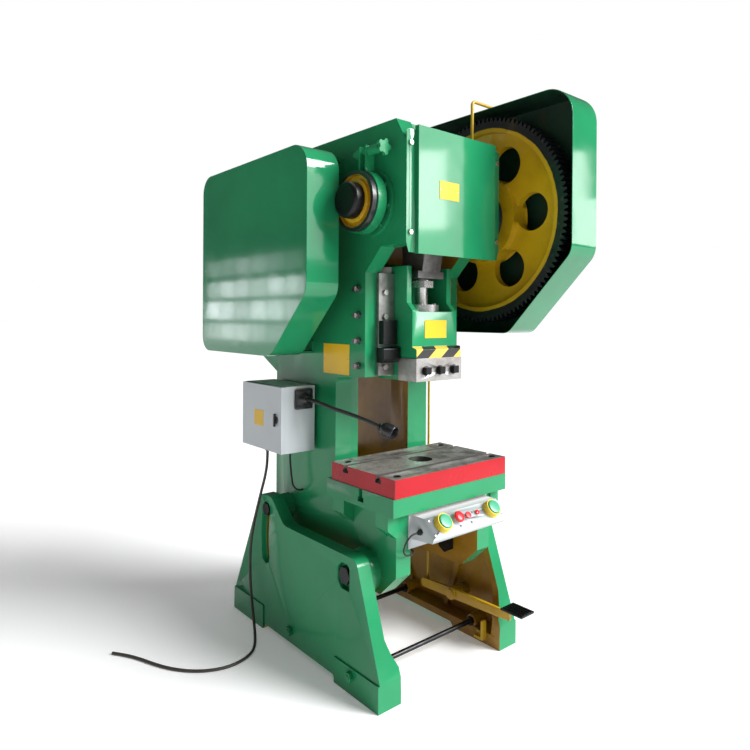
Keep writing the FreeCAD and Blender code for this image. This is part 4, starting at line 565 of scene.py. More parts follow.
class Bench:
    """Models and finishes pieces with Blender's own tools."""

    SMOOTH_BELOW = 38.0
    ROUND_ABOVE = 32.0
    EDGE_STEPS = 2
    WELD = 0.00002
    FLAT = 0.4

    def __init__(self, shop: PaintShop) -> None:
        """Keeps the paint shop and the list of which body each CAD piece rides on."""
        self.shop = shop
        bodies = frame["record"]["behaviour"]["bodies"]
        self.body_of: Dict[str, str] = {node: body for body, nodes in bodies.items() for node in nodes}

    @staticmethod
    def clear() -> None:
        """Leaves edit mode and deselects everything."""
        if bpy.context.object is not None and bpy.context.object.mode != "OBJECT":
            bpy.ops.object.mode_set(mode="OBJECT")
        bpy.ops.object.select_all(action="DESELECT")

    @classmethod
    def pick(cls, piece: bpy.types.Object) -> None:
        """Selects one piece and nothing else."""
        cls.clear()
        piece.select_set(True)
        bpy.context.view_layer.objects.active = piece

    @classmethod
    def edit(cls, piece: bpy.types.Object) -> None:
        """Opens a piece in edit mode with everything in it selected."""
        cls.pick(piece)
        bpy.ops.object.mode_set(mode="EDIT")
        bpy.ops.mesh.select_all(action="SELECT")

    @classmethod
    def soften(cls, piece: bpy.types.Object, width: float) -> None:
        """Rounds a piece's sharp edges and shades it.

        Args:
            piece: The piece.
            width: Width of the rounding, in metres, or 0 for none.
        """
        cls.pick(piece)
        bpy.ops.object.shade_smooth_by_angle(angle=math.radians(cls.SMOOTH_BELOW))
        if width > 0:
            edge = piece.modifiers.new("edge", "BEVEL")
            edge.width = width
            edge.segments = cls.EDGE_STEPS
            edge.limit_method = "ANGLE"
            edge.angle_limit = math.radians(cls.ROUND_ABOVE)
            edge.use_clamp_overlap = True
            edge.harden_normals = True
            bpy.ops.object.modifier_apply(modifier="edge")

    def mount(self, piece: bpy.types.Object, body: str, finish: Optional[Finish] = None,
              slot: Optional[str] = None, stands_for: Sequence[str] = ()) -> bpy.types.Object:
        """Paints a piece and lets it ride on a body.

        Args:
            piece: The finished piece.
            body: Name of the body that it moves with.
            finish: Its finish, or none where it's painted already.
            slot: The record's material slot; not used.
            stands_for: CAD pieces that it replaces.

        Returns:
            The piece.
        """
        if finish is not None:
            piece.data.materials.clear()
            piece.data.materials.append(self.shop.get(finish))
        if stands_for:
            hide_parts(*stands_for)
        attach(piece, body)
        LOG.info("%s rides on %s", piece.name, body)
        return piece

    def paint(self, node: str, finish: Finish) -> None:
        """Gives a CAD piece that keeps its shape a finish."""
        slots = frame["nodes"][node].data.materials
        slots.clear()
        slots.append(self.shop.get(finish))

    def softened(self, node: str, name: str, finishes: Sequence[Finish], rule: Optional[Rule] = None,
                 width: float = 0.0012, slot: Optional[str] = None) -> bpy.types.Object:
        """Replaces a CAD piece by a merged copy with rounded edges, painted face by face.

        Args:
            node: The CAD piece.
            name: The copy's name.
            finishes: The finishes that the rule chooses from.
            rule: Takes a face's centre and normal and returns a finish's index.
            width: Width of the rounded edges, in metres.
            slot: The record's material slot, where it isn't the CAD piece's own.

        Returns:
            The copy.
        """
        source = frame["nodes"][node]
        piece = bpy.data.objects.new(name, source.data.copy())
        bpy.context.scene.collection.objects.link(piece)
        self.edit(piece)
        bpy.ops.mesh.remove_doubles(threshold=self.WELD)
        bpy.ops.mesh.dissolve_limited(angle_limit=math.radians(self.FLAT))
        bpy.ops.mesh.select_all(action="SELECT")
        bpy.ops.mesh.vert_connect_concave()
        bpy.ops.object.mode_set(mode="OBJECT")
        piece.data.materials.clear()
        for finish in finishes:
            piece.data.materials.append(self.shop.get(finish))
        for face in piece.data.polygons:
            face.material_index = rule(face.center, face.normal) if rule else 0
        self.soften(piece, width)
        slot = slot or next(s["material_slot"] for s in frame["record"]["subparts"] if s["node"] == node)
        return self.mount(piece, self.body_of[node], slot=slot, stands_for=[node])

    def dress(self, *rows: Tuple[str, str, Finish, float]) -> None:
        """Softens CAD pieces in one finish each: node, new name, finish and edge width."""
        for node, name, finish, width in rows:
            self.softened(node, name, [finish], None, width)

    @staticmethod
    def turn_to(axis: Vector) -> Matrix:
        """The rotation that brings +Z to an axis."""
        return axis.normalized().to_track_quat("Z", "Y").to_matrix().to_4x4()

    def settle(self, piece: bpy.types.Object, where: Vector, axis: Vector) -> None:
        """Puts a piece modelled about the origin in place and applies that to its mesh.

        Args:
            piece: The piece.
            where: Where its origin goes.
            axis: Where its +Z points.
        """
        self.pick(piece)
        piece.matrix_world = Matrix.Translation(where) @ self.turn_to(axis)
        bpy.ops.object.transform_apply(location=True, rotation=True, scale=True)

    def turned(self, name: str, where: Vector, axis: Vector, profile: Sequence[Tuple[float, float]],
               sides: int) -> bpy.types.Object:
        """A turned piece: a disc that is drawn out along an axis and sized step by step.

        Args:
            name: The piece's name.
            where: Centre of the first disc.
            axis: Direction it is drawn out in.
            profile: Radius and height of each step, in metres.
            sides: Sides of the circle.

        Returns:
            The piece.
        """
        self.clear()
        radius, height = profile[0]
        bpy.ops.mesh.primitive_circle_add(vertices=sides, radius=radius, fill_type="NGON",
                                          location=(0.0, 0.0, height))
        piece = bpy.context.object
        piece.name = name
        bpy.ops.object.transform_apply(location=True, rotation=True, scale=True)
        self.edit(piece)
        for wide, high in profile[1:]:
            bpy.ops.mesh.extrude_region_move(TRANSFORM_OT_translate={"value": (0.0, 0.0, high - height)})
            bpy.ops.transform.resize(value=(wide / radius, wide / radius, 1.0),
                                     center_override=(0.0, 0.0, high))
            radius, height = wide, high
        bpy.ops.mesh.select_all(action="SELECT")
        bpy.ops.mesh.normals_make_consistent(inside=False)
        bpy.ops.object.mode_set(mode="OBJECT")
        self.settle(piece, where, axis)
        self.soften(piece, 0.0)
        return piece

    def block(self, name: str, low: Vector, high: Vector, width: float = 0.0005) -> bpy.types.Object:
        """A squared piece with rounded edges between two corners.

        Args:
            name: The piece's name.
            low: Lowest corner.
            high: Highest corner.
            width: Width of its rounded edges.

        Returns:
            The piece.
        """
        self.clear()
        bpy.ops.mesh.primitive_cube_add(size=1.0, location=(low + high) / 2.0, scale=high - low)
        piece = bpy.context.object
        piece.name = name
        bpy.ops.object.transform_apply(location=True, rotation=True, scale=True)
        self.soften(piece, width)
        return piece

    def joined(self, name: str, pieces: Sequence[bpy.types.Object]) -> bpy.types.Object:
        """Joins pieces into one and names it."""
        self.clear()
        for piece in pieces:
            piece.select_set(True)
        bpy.context.view_layer.objects.active = pieces[0]
        if len(pieces) > 1:
            bpy.ops.object.join()
        pieces[0].name = name
        return pieces[0]


# ---- the castings -------------------------------------------------------------------------
@dataclass
class Castings:
    """The tilting body, the two legs and what is bolted to them."""

    bench: Bench
    wall: float = 0.1704
    leg_web: float = 0.3163
    leg_heart: Tuple[float, float] = (0.085, 0.235)
    pocket: Tuple[Tuple[float, float], ...] = (
        (-136.0, 44.0), (744.0, 44.0), (744.0, 122.0), (570.0, 508.0), (510.0, 508.0), (423.0, 422.0),
        (-35.0, 422.0), (-142.0, 110.0))
    nut: float = 0.3300
    table_top: float = 0.6675
    table_skin: float = 0.002
    back_y: float = 0.40
    head_top: float = 1.9

    def body_rule(self, centre: Vector, normal: Vector) -> int:
        """Ochre between the walls, green everywhere else."""
        inside = abs(centre.x) < self.wall
        looks_out = normal.y < -0.7 or (normal.y > 0.7 and centre.y > self.back_y) or (
            normal.z > 0.7 and (centre.z > self.head_top or abs(centre.z - self.table_top) < self.table_skin))
        return 1 if inside and not looks_out else 0

    def in_pocket(self, centre: Vector) -> bool:
        """Whether a point lies within the hollow of a leg, seen from the side."""
        inside = False
        corners = [at(0.0, y, z) for y, z in self.pocket]
        for first, last in zip(corners, corners[1:] + corners[:1]):
            if (first.z > centre.z) != (last.z > centre.z):
                share = (centre.z - first.z) / (last.z - first.z)
                if centre.y < first.y + share * (last.y - first.y):
                    inside = not inside
        return inside

    def rod_rule(self, centre: Vector, normal: Vector) -> int:
        """Black on the rods, green on the nuts outside the legs."""
        return 1 if abs(centre.x) > self.nut else 0

    def leg_rule(self, centre: Vector, normal: Vector) -> int:
        """Ochre on a leg's inner side, green on its outer side and its rim."""
        side = 1.0 if centre.x > 0 else -1.0
        if normal.x * side < -0.5 or (abs(centre.x) < self.leg_web and self.in_pocket(centre)):
            return 1
        outward = normal.y * (centre.y - self.leg_heart[0]) + normal.z * (centre.z - self.leg_heart[1])
        return 1 if abs(centre.x) < self.leg_web and outward < 0 else 0

    def build(self) -> None:
        """Dresses the castings."""
        bench = self.bench
        bench.softened("frame", "body_casting", [GREEN, OCHRE], self.body_rule, 0.0022)
        bench.softened("left_leg", "left_leg_casting", [GREEN, OCHRE], self.leg_rule, 0.0025)
        bench.softened("right_leg", "right_leg_casting", [GREEN, OCHRE], self.leg_rule, 0.0025)
        bench.softened("bearing_flange", "bearing_ring", [GREEN], None, 0.0008)
        for node in ("pedal_stop", "trip_guides"):
            finish = OCHRE_PART if node == "pedal_stop" else GREEN
            bench.softened(node, node + "_painted", [finish], None, 0.0008)
        bench.softened("tie_rods", "leg_rods", [OXIDE, GREEN], self.rod_rule, 0.0008)
        bench.paint("pivot_pins", OXIDE)
        bench.paint("lock_bolts", OXIDE)
        bench.paint("bearing_bushes", BRONZE)
        bench.paint("guard_brackets", GREEN)
        bench.dress(
            ("motor_plate", "motor_shelf", GREEN, 0.0010),
            ("motor_body", "motor_casing", GREEN, 0.0008))


@dataclass
class Guards:
    """The belt guard, the gear guard, the front cover and the stay."""

    bench: Bench
    belt_heart: Tuple[float, float] = (0.25, 1.48)
    gear_heart: Tuple[float, float] = (-0.16, 1.64)
    side_x: float = 0.40

    def belt_rule(self, centre: Vector, normal: Vector) -> int:
        """Dark green paint with painted shade inside the belt guard, green outside."""
        away = normal.y * (centre.y - self.belt_heart[0]) + normal.z * (centre.z - self.belt_heart[1])
        return 1 if normal.x > 0.9 and centre.x < -self.side_x or (abs(normal.x) < 0.5 and away < 0) else 0

    def gear_rule(self, centre: Vector, normal: Vector) -> int:
        """Dark green paint with painted shade inside the gear guard, green outside."""
        away = normal.y * (centre.y - self.gear_heart[0]) + normal.z * (centre.z - self.gear_heart[1])
        return 1 if normal.x < -0.9 and centre.x > self.side_x or (abs(normal.x) < 0.5 and away < 0) else 0

    def build(self) -> None:
        """Dresses the guards."""
        bench = self.bench
        # The inner faces of both guards take the dark green paint with painted shade.
        bench.softened("belt_guard", "belt_cover", [SHEET_GREEN, DARK_PAINT_AND_SHADE], self.belt_rule, 0.0018)
        bench.softened("gear_guard", "gear_cover", [SHEET_GREEN, DARK_PAINT_AND_SHADE], self.gear_rule, 0.0012)
        bench.softened("front_cover", "head_cover", [SHEET_GREEN], None, 0.0009)
        bench.paint("guard_stay", OCHRE_PART)


@dataclass
class Drive:
    """The gears, the shafts, the flywheel and the brake."""

    bench: Bench

    def build(self) -> None:
        """Dresses the drive."""
        bench = self.bench
        bench.softened("bull_gear", "bull_gear_cast", [GEAR_COAT], None, 0.0008)
        bench.paint("clutch_housing", FORGED)
        bench.paint("pinion_shaft", FORGED)
        bench.softened("flywheel", "flywheel_cast", [OCHRE_PART], None, 0.0010)
        bench.paint("motor_pulley", FORGED)
        bench.paint("v_belts", BLACK_RUBBER)
        bench.paint("crankshaft", FORGED)
        bench.dress(
            ("shaft_caps", "crank_caps", OXIDE, 0.0020),
            ("brake_drum", "brake_wheel", DRUM_COAT, 0.0010),
            ("brake_band", "brake_strap", GREEN, 0.0010),
            ("brake_adjuster", "brake_screw", GREEN, 0.0010))


@dataclass
class RamGroup:
    """The ram, its gibs, its clamp and the screw that sets its height."""

    bench: Bench
    band_low: float = 1.1115
    band_high: float = 1.1530
    rail_x: float = 0.1125

    def ram_rule(self, centre: Vector, normal: Vector) -> int:
        """Stripes on the flared band, bare steel under it and on the rails, green elsewhere."""
        if normal.y < -0.2 and self.band_low < centre.z < self.band_high:
            return 1
        if abs(centre.x) > self.rail_x or normal.z < -0.7:
            return 2
        return 0

    def build(self) -> None:
        """Dresses the ram's pieces."""
        bench = self.bench
        bench.softened("ram", "ram_casting", [GREEN, HAZARD, BLOCK_STEEL], self.ram_rule, 0.0018)
        bench.dress(
            ("clamp_block", "shank_clamp", BLOCK_STEEL, 0.0012),
            ("clamp_bolts", "clamp_screws", OXIDE, 0.0010),
            ("left_gib", "left_guide", GIB_STEEL, 0.0008),
            ("right_gib", "right_guide", GIB_STEEL, 0.0008),
            ("stop_blocks", "stop_pair", OXIDE, 0.0012),
            ("gib_screws", "set_screws", FORGED, 0.0006),
            ("hex_screws", "cap_screws", ZINC, 0.0006))
        bench.softened("connecting_rod", "rod_forging", [FORGED], None, 0.0020, slot="forged_steel")
        bench.dress(
            ("adjusting_screw", "height_screw", BRIGHT_STEEL, 0.0008),
            ("ball_cap", "ball_cover", BRIGHT_STEEL, 0.0010))


@dataclass
class Table:
    """The bolster plate on the body's table."""

    bench: Bench
    top: float = 0.7298
    half_x: float = 0.2795
    half_y: float = 0.1745

    def rule(self, centre: Vector, normal: Vector) -> int:
        """Worn steel on top, red round the sides, dark steel inside the slots."""
        if normal.z > 0.7 and centre.z > self.top:
            return 0
        if abs(centre.x) > self.half_x or abs(centre.y - SHIFT_Y) > self.half_y:
            return 1
        return 2

    def build(self) -> None:
        """Dresses the bolster."""
        self.bench.softened("bolster", "bolster_plate", [TABLE, RED, SLOT_STEEL], self.rule, 0.0012)
        self.bench.paint("bolster_bolts", OXIDE)


@dataclass
class Pedal:
    """The foot pedal and the rod that it lifts."""

    bench: Bench

    def build(self) -> None:
        """Dresses the pedal."""
        bench = self.bench
        bench.dress(
            ("pedal_lever", "pedal_bar", OCHRE_PART, 0.0012),
            ("pedal_plate", "pedal_tread", OXIDE, 0.0010))
        bench.paint("pedal_shaft", OCHRE_PART)
        bench.paint("trip_rod", OCHRE_PART)


@dataclass
class Console:
    """The two-hand control panel: folded box, guarded palm buttons, stop button and lamp."""

    bench: Bench
    low: Triple = (0.0, -239.0, 531.0)
    high: Triple = (0.0, -191.0, 587.0)
    palm_x: Tuple[float, float] = (-102.0, 147.0)
    palm_along: float = 41.0
    cup_inner: float = 0.0256
    cup_outer: float = 0.0300
    cup_height: float = 0.0235
    head_radius: float = 0.0246
    head_foot: float = 0.0130
    head_top: float = 0.0295
    screws: Tuple[Tuple[float, float], ...] = ((-150.0, 12.0), (190.0, 12.0), (-150.0, 63.0), (190.0, 63.0))
    studs: Tuple[Tuple[float, float], ...] = ((-25.0, 17.0), (31.0, 18.0), (55.0, 50.0))

    @property
    def up(self) -> Vector:
        """The direction up the slanting panel."""
        return Vector((0.0, self.high[1] - self.low[1], self.high[2] - self.low[2])).normalized()

    @property
    def out(self) -> Vector:
        """The direction out of the slanting panel."""
        return Vector((0.0, -self.up.z, self.up.y))

    def spot(self, x: float, along: float) -> Vector:
        """A point on the slanting panel, from millimetres across it and up it."""
        return at(x, self.low[1], self.low[2]) + self.up * (along / 1000.0)

    def palm(self, side: str, x: float) -> None:
        """A yellow cup on the panel and the green head that is pressed inside it."""
        foot = self.spot(x, self.palm_along)
        cup = self.bench.turned(side + "_palm_cup", foot, self.out, [
            (self.cup_outer + 0.002, 0.0002), (self.cup_outer + 0.002, 0.003), (self.cup_outer, 0.0045),
            (self.cup_outer, self.cup_height - 0.001), (self.cup_outer - 0.001, self.cup_height),
            (self.cup_inner + 0.001, self.cup_height), (self.cup_inner, self.cup_height - 0.001),
            (self.cup_inner, 0.0085), (0.0200, 0.0080)], 64)
        self.bench.mount(cup, "press", YELLOW_PLASTIC, "button_green")
        node = side + "_palm_button"
        radius = self.head_radius
        head = self.bench.turned(side + "_palm_head", foot, self.out, [
            (0.0069, -0.0115), (0.0069, self.head_foot), (radius - 0.002, self.head_foot),
            (radius, self.head_foot + 0.002), (radius, self.head_top - 0.0035),
            (radius - 0.0012, self.head_top - 0.0016), (radius - 0.004, self.head_top - 0.0008),
            (radius * 0.55, self.head_top - 0.0002), (radius * 0.2, self.head_top)], 64)
        self.bench.mount(head, self.bench.body_of[node], GREEN_PLASTIC, "button_green", [node])

    def stop(self) -> None:
        """The red mushroom head on its yellow collar."""
        foot = self.spot(-27.0, 44.0)
        head = self.bench.turned("stop_head", foot, self.out, [
            (0.0069, -0.0115), (0.0069, 0.0105), (0.0125, 0.0110), (0.0140, 0.0125), (0.0195, 0.0145),
            (0.0200, 0.0165), (0.0198, 0.0185), (0.0185, 0.0210), (0.0155, 0.0230), (0.0100, 0.0242),
            (0.0040, 0.0245)], 64)
        self.bench.mount(head, self.bench.body_of["stop_button"], RED_PLASTIC, "button_red", ["stop_button"])

    def setter(self) -> None:
        """The small red push button beside it."""
        foot = self.spot(17.0, 41.0)
        head = self.bench.turned("set_head", foot, self.out, [
            (0.0069, -0.0115), (0.0069, 0.0125), (0.0110, 0.0126), (0.0120, 0.0135), (0.0120, 0.0175),
            (0.0112, 0.0190), (0.0060, 0.0195)], 48)
        self.bench.mount(head, self.bench.body_of["set_button"], RED_PLASTIC, "button_red", ["set_button"])

    def lamp(self) -> None:
        """The red signal lamp: a bright ring with a domed cover."""
        foot = self.spot(75.0, 45.0)
        ring = self.bench.turned("signal_ring", foot, self.out, [
            (0.0078, -0.0140), (0.0078, 0.0002), (0.0112, 0.0003), (0.0112, 0.0030), (0.0104, 0.0040),
            (0.0090, 0.0040)], 48)
        cover = self.bench.turned("signal_cover", foot, self.out, [
            (0.0086, 0.0035), (0.0088, 0.0055), (0.0084, 0.0075), (0.0066, 0.0088), (0.0030, 0.0093)], 48)
        self.bench.mount(ring, "press", ZINC, "zinc_steel")
        self.bench.mount(cover, "press", LAMP_PLASTIC, "lamp_red", ["signal_lamp"])

    def small_parts(self) -> None:
        """Panel screws and the two studs of the lower edge."""
        heads = []
        for x, along in self.screws:
            heads.append(self.bench.turned("panel_screw", self.spot(x, along), self.out, [
                (0.0042, -0.0003), (0.0042, 0.0008), (0.0036, 0.0018), (0.0018, 0.0023)], 24))
        self.bench.mount(self.bench.joined("panel_screws", heads), "press", ZINC, "zinc_steel")
        dots = [self.bench.turned("panel_stud", self.spot(x, along), self.out, [
            (0.0034, -0.0003), (0.0034, 0.0012), (0.0022, 0.0016)], 24) for x, along in self.studs]
        self.bench.mount(self.bench.joined("panel_studs", dots), "press", BLACK_PLASTIC, "black_plastic")

    def build(self) -> None:
        """Builds the console."""
        self.bench.softened("control_box", "console_box", [GREY], None, 0.0)
        self.palm("left", self.palm_x[0])
        self.palm("right", self.palm_x[1])
        self.stop()
        self.setter()
        self.lamp()
        self.small_parts()


@dataclass
class Cabinet:
    """The electrical cabinet on the body's left side, with its door, lock and glands."""

    bench: Bench
    door_x: float = -398.3
    front: float = 330.0
    rear: float = 629.0
    bottom: float = 744.0
    top: float = 992.0
    plate_y: Tuple[float, float] = (462.0, 532.0)
    plate_z: Tuple[float, float] = (832.0, 892.0)
    rivet_inset: float = 5.0
    seal_x: Tuple[float, float] = (17.8, 20.4)
    seal_width: float = 7.0

    def name_plate(self) -> None:
        """A blank yellow plate with two rivets on the door."""
        x = self.door_x
        plate = self.bench.block("door_plate", at(x - 0.9, self.plate_y[0], self.plate_z[0]),
                                 at(x + 0.1, self.plate_y[1], self.plate_z[1]), 0.0003)
        self.bench.mount(plate, "door", YELLOW_PLATE, "grey_paint")
        rivets = []
        middle = (self.plate_z[0] + self.plate_z[1]) / 2.0
        for y in (self.plate_y[0] + self.rivet_inset, self.plate_y[1] - self.rivet_inset):
            rivets.append(self.bench.turned("rivet", at(x - 0.8, y, middle), Vector(Axis.LEFT.value), [
                (0.0022, 0.0), (0.0021, 0.0006), (0.0012, 0.0011)], 16))
        self.bench.mount(self.bench.joined("door_rivets", rivets), "door", ZINC, "zinc_steel")

    def seal(self) -> None:
        """The black rubber strip between the door and the shell."""
        x0, x1 = (self.door_x + depth for depth in self.seal_x)
        wide = self.seal_width
        front, rear, bottom, top = self.front + 0.6, self.rear + 1.4, self.bottom - 1.4, self.top + 1.4
        runs = [(front, front + wide, bottom, top), (rear - wide, rear, bottom, top),
                (front, rear, bottom, bottom + wide), (front, rear, top - wide, top)]
        strips = [self.bench.block("seal", at(x0, y0, z0), at(x1, y1, z1), 0.001) for y0, y1, z0, z1 in runs]
        self.bench.mount(self.bench.joined("door_seal", strips), "door", BLACK_RUBBER, "cable_rubber")

    def build(self) -> None:
        """Builds the cabinet."""
        bench = self.bench
        bench.dress(
            ("cabinet_box", "cabinet_shell", GREY, 0.0015),
            ("cabinet_door", "cabinet_lid", GREY_DOOR, 0.0020),
            ("door_lock", "door_handle", BLACK_PLASTIC, 0.0012),
            ("cable_glands", "gland_nuts", BLACK_PLASTIC, 0.0008))
        self.name_plate()
        self.seal()


@dataclass
class WorkLamp:
    """The work lamp: base, hose neck and shade with its lens."""

    bench: Bench
    tip: Triple = (-218.0, -21.0, 878.0)
    before: Triple = (-226.0, 17.0, 888.0)
    length: float = 0.0695

    def build(self) -> None:
        """Builds the lamp."""
        bench = self.bench
        tip = at(*self.tip)
        way = (tip - at(*self.before)).normalized()
        bench.softened("lamp_base", "lamp_foot", [BLACK_PLASTIC], None, 0.0012)
        bench.paint("lamp_arm", HOSE)
        shade = bench.turned("lamp_shade", tip, way, [
            (0.0080, 0.0002), (0.0125, 0.0010), (0.0135, 0.0050), (0.0135, 0.0090), (0.0116, 0.0104),
            (0.0150, 0.0125), (0.0205, 0.0185), (0.0240, 0.0260), (0.0257, 0.0350), (0.0261, 0.0450),
            (0.0254, 0.0560), (0.0240, 0.0635), (0.0222, 0.0685), (0.0208, self.length), (0.0200, 0.0680),
            (0.0185, 0.0560), (0.0145, 0.0425), (0.0080, 0.0410)], 64)
        bench.mount(shade, "press", BLACK_PLASTIC, "black_plastic", ["lamp_head"])
        glass = bench.turned("lamp_lens", tip, way, [
            (0.0060, 0.0412), (0.0095, 0.0440), (0.0115, 0.0480), (0.0105, 0.0520), (0.0050, 0.0540)], 48)
        bench.mount(glass, "press", LENS, "black_plastic")


@dataclass
class Plates:
    """Blank plates where a press carries its signs: on the head cover, the ram and the left wall."""

    bench: Bench
    rim: float = 0.0022
    step: float = 0.0006
    sink: float = 0.0004
    edge: float = 0.0002

    def plate(self, name: str, low: Vector, high: Vector, body: str, rivets: Sequence[Vector],
              out: Axis) -> None:
        """One blank plate with a raised rim and its rivets.

        Args:
            name: The plate's name.
            low: Lowest corner.
            high: Highest corner.
            body: Body that it rides on.
            rivets: Centres of the rivets.
            out: The direction that the plate faces.
        """
        bench = self.bench
        piece = bench.block(name, low, high, 0.0)
        facing = Vector(out.value)
        bench.edit(piece)
        bpy.ops.mesh.select_all(action="DESELECT")
        bpy.ops.object.mode_set(mode="OBJECT")
        for face in piece.data.polygons:
            face.select = face.normal.dot(facing) > 0.9
        bpy.ops.object.mode_set(mode="EDIT")
        bpy.ops.mesh.select_mode(type="FACE")
        bpy.ops.mesh.inset(thickness=self.rim, depth=0.0)
        bpy.ops.mesh.inset(thickness=self.step, depth=-self.sink)
        bpy.ops.object.mode_set(mode="OBJECT")
        bench.soften(piece, self.edge)
        bench.mount(piece, body, YELLOW_PLATE, "ochre_paint")
        dome = [(0.0022, -0.0002), (0.0021, 0.0006), (0.0011, 0.0011)]
        heads = [bench.turned("rivet", centre, facing, dome, 16) for centre in rivets]
        bench.mount(bench.joined(name + "_rivets", heads), body, ZINC, "zinc_steel")

    def build(self) -> None:
        """Builds the three plates."""
        self.plate("cover_plate", at(-98, -189.2, 1660), at(-2, -187.9, 1722), "press",
                   [at(-93, -189.1, 1691), at(-7, -189.1, 1691)], Axis.FRONT)
        self.plate("ram_plate", at(-52, -73.6, 1182), at(58, -71.9, 1247), "slide",
                   [at(-46, -73.5, 1214), at(52, -73.5, 1214)], Axis.FRONT)
        self.plate("wall_plate", at(-236.4, 130, 1044), at(-234.9, 292, 1156), "press",
                   [at(-236.3, 138, 1100), at(-236.3, 284, 1100)], Axis.LEFT)


@dataclass
class Cables:
    """The power cord to the floor, and the two fixed cables."""

    bench: Bench
    radius: float = 0.0055
    length: float = 1.41
    route: Tuple[Triple, ...] = (
        (-330.0, 548.0, 716.0), (-330.0, 548.0, 668.0), (-335.0, 556.0, 612.0), (-345.0, 566.0, 556.0),
        (-357.0, 573.0, 498.0), (-368.0, 580.0, 440.0), (-376.0, 587.0, 380.0), (-381.0, 591.0, 320.0),
        (-384.0, 588.0, 262.0), (-388.0, 578.0, 206.0), (-393.0, 561.0, 152.0), (-400.0, 536.0, 102.0),
        (-410.0, 505.0, 62.0), (-424.0, 470.0, 31.0), (-444.0, 434.0, 12.0), (-474.0, 403.0, 6.2),
        (-520.0, 379.0, 6.0), (-572.0, 371.0, 6.0), (-624.0, 382.0, 6.0), (-676.0, 412.0, 6.0),
        (-722.0, 458.0, 6.0), (-757.0, 512.0, 6.0), (-783.0, 568.0, 6.0), (-806.0, 626.0, 6.0),
        (-834.0, 682.0, 6.0), (-870.0, 732.0, 6.0))

    def strand(self, name: str, points: Sequence[Triple], radius: float) -> bpy.types.Object:
        """A smooth round strand along its route.

        Args:
            name: The piece's name.
            points: The route's points, in millimetres.
            radius: The strand's radius, in metres.

        Returns:
            The curve.
        """
        curve = bpy.data.curves.new(name, "CURVE")
        curve.dimensions = "3D"
        curve.bevel_depth = radius
        curve.bevel_resolution = 5
        curve.resolution_u = 10
        curve.render_resolution_u = 10
        curve.use_fill_caps = True
        spline = curve.splines.new("NURBS")
        spline.points.add(len(points) - 1)
        for point, spot in zip(spline.points, points):
            point.co = (*at(*spot), 1.0)
        spline.order_u = 3
        spline.use_endpoint_u = True
        piece = bpy.data.objects.new(name, curve)
        bpy.context.scene.collection.objects.link(piece)
        return piece

    def build(self) -> None:
        """Lays the cables."""
        cord = self.strand("mains_lead", self.route, self.radius)
        cord.data.materials.append(self.bench.shop.get(CORD_RUBBER))
        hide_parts("power_cord")
        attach(cord, "press")
        tuple(at(*self.route[0]))
        self.bench.paint("machine_cables", BLACK_RUBBER)


# ---- the studio ---------------------------------------------------------------------------
@dataclass(frozen=True)
class Softbox:
    """A rectangular lamp.  One that is only mirrored shows in gloss without lighting the rest."""

    name: str
    where: Triple
    aim: Triple
    size: Tuple[float, float]
    power: float
    tint: Triple = (1.0, 1.0, 1.0)
    mirrored_only: bool = False


